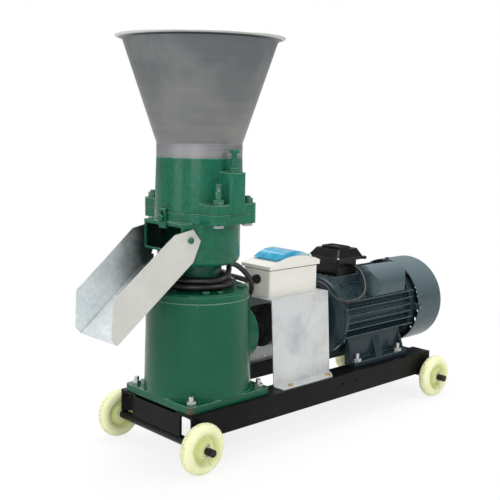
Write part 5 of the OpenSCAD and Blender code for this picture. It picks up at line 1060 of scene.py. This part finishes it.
def add_split_pins():
    """A bent wire pin at each wheel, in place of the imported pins."""
    shapes = []
    pin_low, pin_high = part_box("split_pins")
    reach = min(-pin_low[1], pin_high[1]) - PIN_INSET
    sweep = 360 - 2 * PIN_EYE_START
    eye_angles = [
        math.radians(PIN_EYE_START + sweep * i / PIN_EYE_STEPS) for i in range(PIN_EYE_STEPS + 1)
    ]
    for name, side in WHEELS.items():
        low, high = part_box(name)
        hub = Vector(((low[0] + high[0]) / 2, side * reach, (low[2] + high[2]) / 2))
        eye = []
        for a in eye_angles:
            x = PIN_EYE_RADIUS * math.sin(a)
            eye.append(hub + Vector((x, 0, PIN_EYE_Z - PIN_EYE_RADIUS * math.cos(a))))
        shank = [hub + Vector((0, 0, z)) for z in PIN_SHANK]
        shapes.append(swept(eye, PIN_WIRE_RADIUS, WIRE_SIDES))
        shapes.append(swept(shank, PIN_SHANK_RADIUS, BEAD_SIDES))
        for leg in PIN_LEGS:
            shapes.append(swept([shank[-1] + Vector(p) for p in leg], PIN_WIRE_RADIUS, WIRE_SIDES))
    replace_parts(detail("split_pin_wires", shapes, pale_wire, "axle_steel"), "split_pins")


# Screws of the terminal box's lid, in from its sides and up from its underside
LID_SCREW_INSET = 0.0065
LID_SCREW_RISE = 0.006
LID_SCREW_RADIUS = 0.0032
LID_SCREW_HEIGHT = 0.0024
# Black heads in the ends of the chute's pivots: painted shade, standing in for the dark of their sockets
PIVOT_REACH = 69.4
PIVOT_SOCKET_RADIUS = 0.0022
PIVOT_SOCKET_HEIGHT = 0.0008
# The bracket's far rivet. The near one mirrors it.
RIVET_PLACE = (276.6, 75, 110.9)
RIVET_PROFILE = [(0.004, 0), (0.0036, 0.0012), (0.002, 0.0022)]
RIVET_SIDES = 18


def add_screws():
    """Screws of the terminal box's lid, painted shade for the sockets of the chute's pivots and rivets of
    the bracket.
    """
    low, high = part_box("terminal_lid")
    z = low[2] + LID_SCREW_RISE
    heads = []
    for x in (low[0] + LID_SCREW_INSET, high[0] - LID_SCREW_INSET):
        for y in (low[1] + LID_SCREW_INSET, high[1] - LID_SCREW_INSET):
            heads.append(screw_shape(Vector((x, y, z)), UP, LID_SCREW_RADIUS, LID_SCREW_HEIGHT))
    detail("lid_screws", heads, zinc, "zinc_bolt")
    pivots = []
    rivets = []
    for side in (-1, 1):
        pivot = place(CHUTE_PIVOT_X, side * PIVOT_REACH, CHUTE_PIVOT_Z)
        out = Vector((0, side, 0))
        pivots.append(screw_shape(pivot, out, PIVOT_SOCKET_RADIUS, PIVOT_SOCKET_HEIGHT))
        x, y, z = RIVET_PLACE
        rivets.append(turned(place(x, side * y, z), UP, RIVET_PROFILE, RIVET_SIDES))
    # Painted shade: black heads stand in for the dark sockets of the pivots.
    detail("pivot_slots", pivots, black_plastic, "zinc_bolt")
    detail("bracket_rivets", rivets, hard_steel, "zinc_bolt")


add_beads()
add_casting_ridges()
add_lid_frame()
add_chute_seams()
add_split_pins()
add_screws()


# Floor, light and background

FLOOR_REACH = 6
FLOOR_DROP = 0.0005
FLOOR_GREY = (0.82, 0.82, 0.82, 1)
# Distances over which the floor turns white, and its white share at the near one
FLOOR_FADE = (0.5, 1.5)
FLOOR_NEAR_SHARE = 0.84
WHITE = (1, 1, 1, 1)
SKY_COLOR = (0.97, 0.985, 1, 1)
SKY_STRENGTH = 0.36
LAMP_TARGET = (0, 0, 0.4)
# Lamps, as name, place, size and power
LAMPS = [
    ("key", (0.9, -2.3, 2.0), (1.6, 1.6), 29),
    ("front left", (-2.3, -1.8, 1.3), (1.3, 1.6), 28),
    ("left", (-2.6, 0.2, 1.1), (1.0, 1.8), 14),
    ("top", (0.1, 0.3, 2.6), (2.2, 1.6), 64),
    ("back", (0.6, 2.4, 1.5), (1.8, 1.2), 14),
]


def make_floor():
    """A grey floor that lights the object as such, but looks nearly white to the camera."""
    mesh = bpy.data.meshes.new("floor")
    corners = [(x * FLOOR_REACH, y * FLOOR_REACH, 0) for x, y in ((-1, -1), (1, -1), (1, 1), (-1, 1))]
    mesh.from_pydata(corners, [], [(0, 1, 2, 3)])
    floor = bpy.data.objects.new("floor", mesh)
    floor.location.z = -FLOOR_DROP
    scene.collection.objects.link(floor)
    g = Graph("pale floor")
    path = g.node("ShaderNodeLightPath")
    seen = g.math("MAXIMUM", path.outputs["Is Camera Ray"], path.outputs["Is Glossy Ray"])
    seen = g.math("MAXIMUM", seen, path.outputs["Is Transmission Ray"])
    across = g.node("ShaderNodeVectorMath", operation="LENGTH")
    g.put(across.inputs[0], g.coordinates)
    share = g.span(across.outputs["Value"], *FLOOR_FADE, FLOOR_NEAR_SHARE, 1.0)
    matt = g.node("ShaderNodeBsdfDiffuse")
    matt.inputs["Color"].default_value = FLOOR_GREY
    glow = g.node("ShaderNodeEmission")
    glow.inputs["Color"].default_value = WHITE
    blend = g.node("ShaderNodeMixShader")
    g.put(blend.inputs[0], g.times(seen, share))
    g.tree.links.new(matt.outputs[0], blend.inputs[1])
    g.tree.links.new(glow.outputs[0], blend.inputs[2])
    g.tree.links.new(blend.outputs[0], g.output.inputs["Surface"])
    mesh.materials.append(g.material)


def make_world():
    """White to the camera and through the window flap, and a soft even light to all else."""
    world = bpy.data.worlds.new("studio")
    scene.world = world
    world.use_nodes = True
    tree = world.node_tree
    tree.nodes.clear()
    out = tree.nodes.new("ShaderNodeOutputWorld")
    path = tree.nodes.new("ShaderNodeLightPath")
    seen = tree.nodes.new("ShaderNodeMath")
    seen.operation = "MAXIMUM"
    tree.links.new(path.outputs["Is Camera Ray"], seen.inputs[0])
    tree.links.new(path.outputs["Is Transmission Ray"], seen.inputs[1])
    blend = tree.nodes.new("ShaderNodeMixShader")
    tree.links.new(seen.outputs[0], blend.inputs[0])
    for socket, color, strength in ((1, SKY_COLOR, SKY_STRENGTH), (2, WHITE, 1)):
        light = tree.nodes.new("ShaderNodeBackground")
        light.inputs["Color"].default_value = color
        light.inputs["Strength"].default_value = strength
        tree.links.new(light.outputs[0], blend.inputs[socket])
    tree.links.new(blend.outputs[0], out.inputs["Surface"])


def make_lamp(name, where, size, power):
    """Soft lamp that shines on the middle of the machine."""
    data = bpy.data.lights.new(name, "AREA")
    data.shape = "RECTANGLE"
    data.size, data.size_y = size
    data.energy = power
    lamp = bpy.data.objects.new(name, data)
    lamp.location = where
    lamp.rotation_euler = (Vector(LAMP_TARGET) - Vector(where)).to_track_quat("-Z", "Y").to_euler()
    scene.collection.objects.link(lamp)


make_floor()
make_world()
for lamp in LAMPS:
    make_lamp(*lamp)
scene.view_settings.view_transform = "Standard"
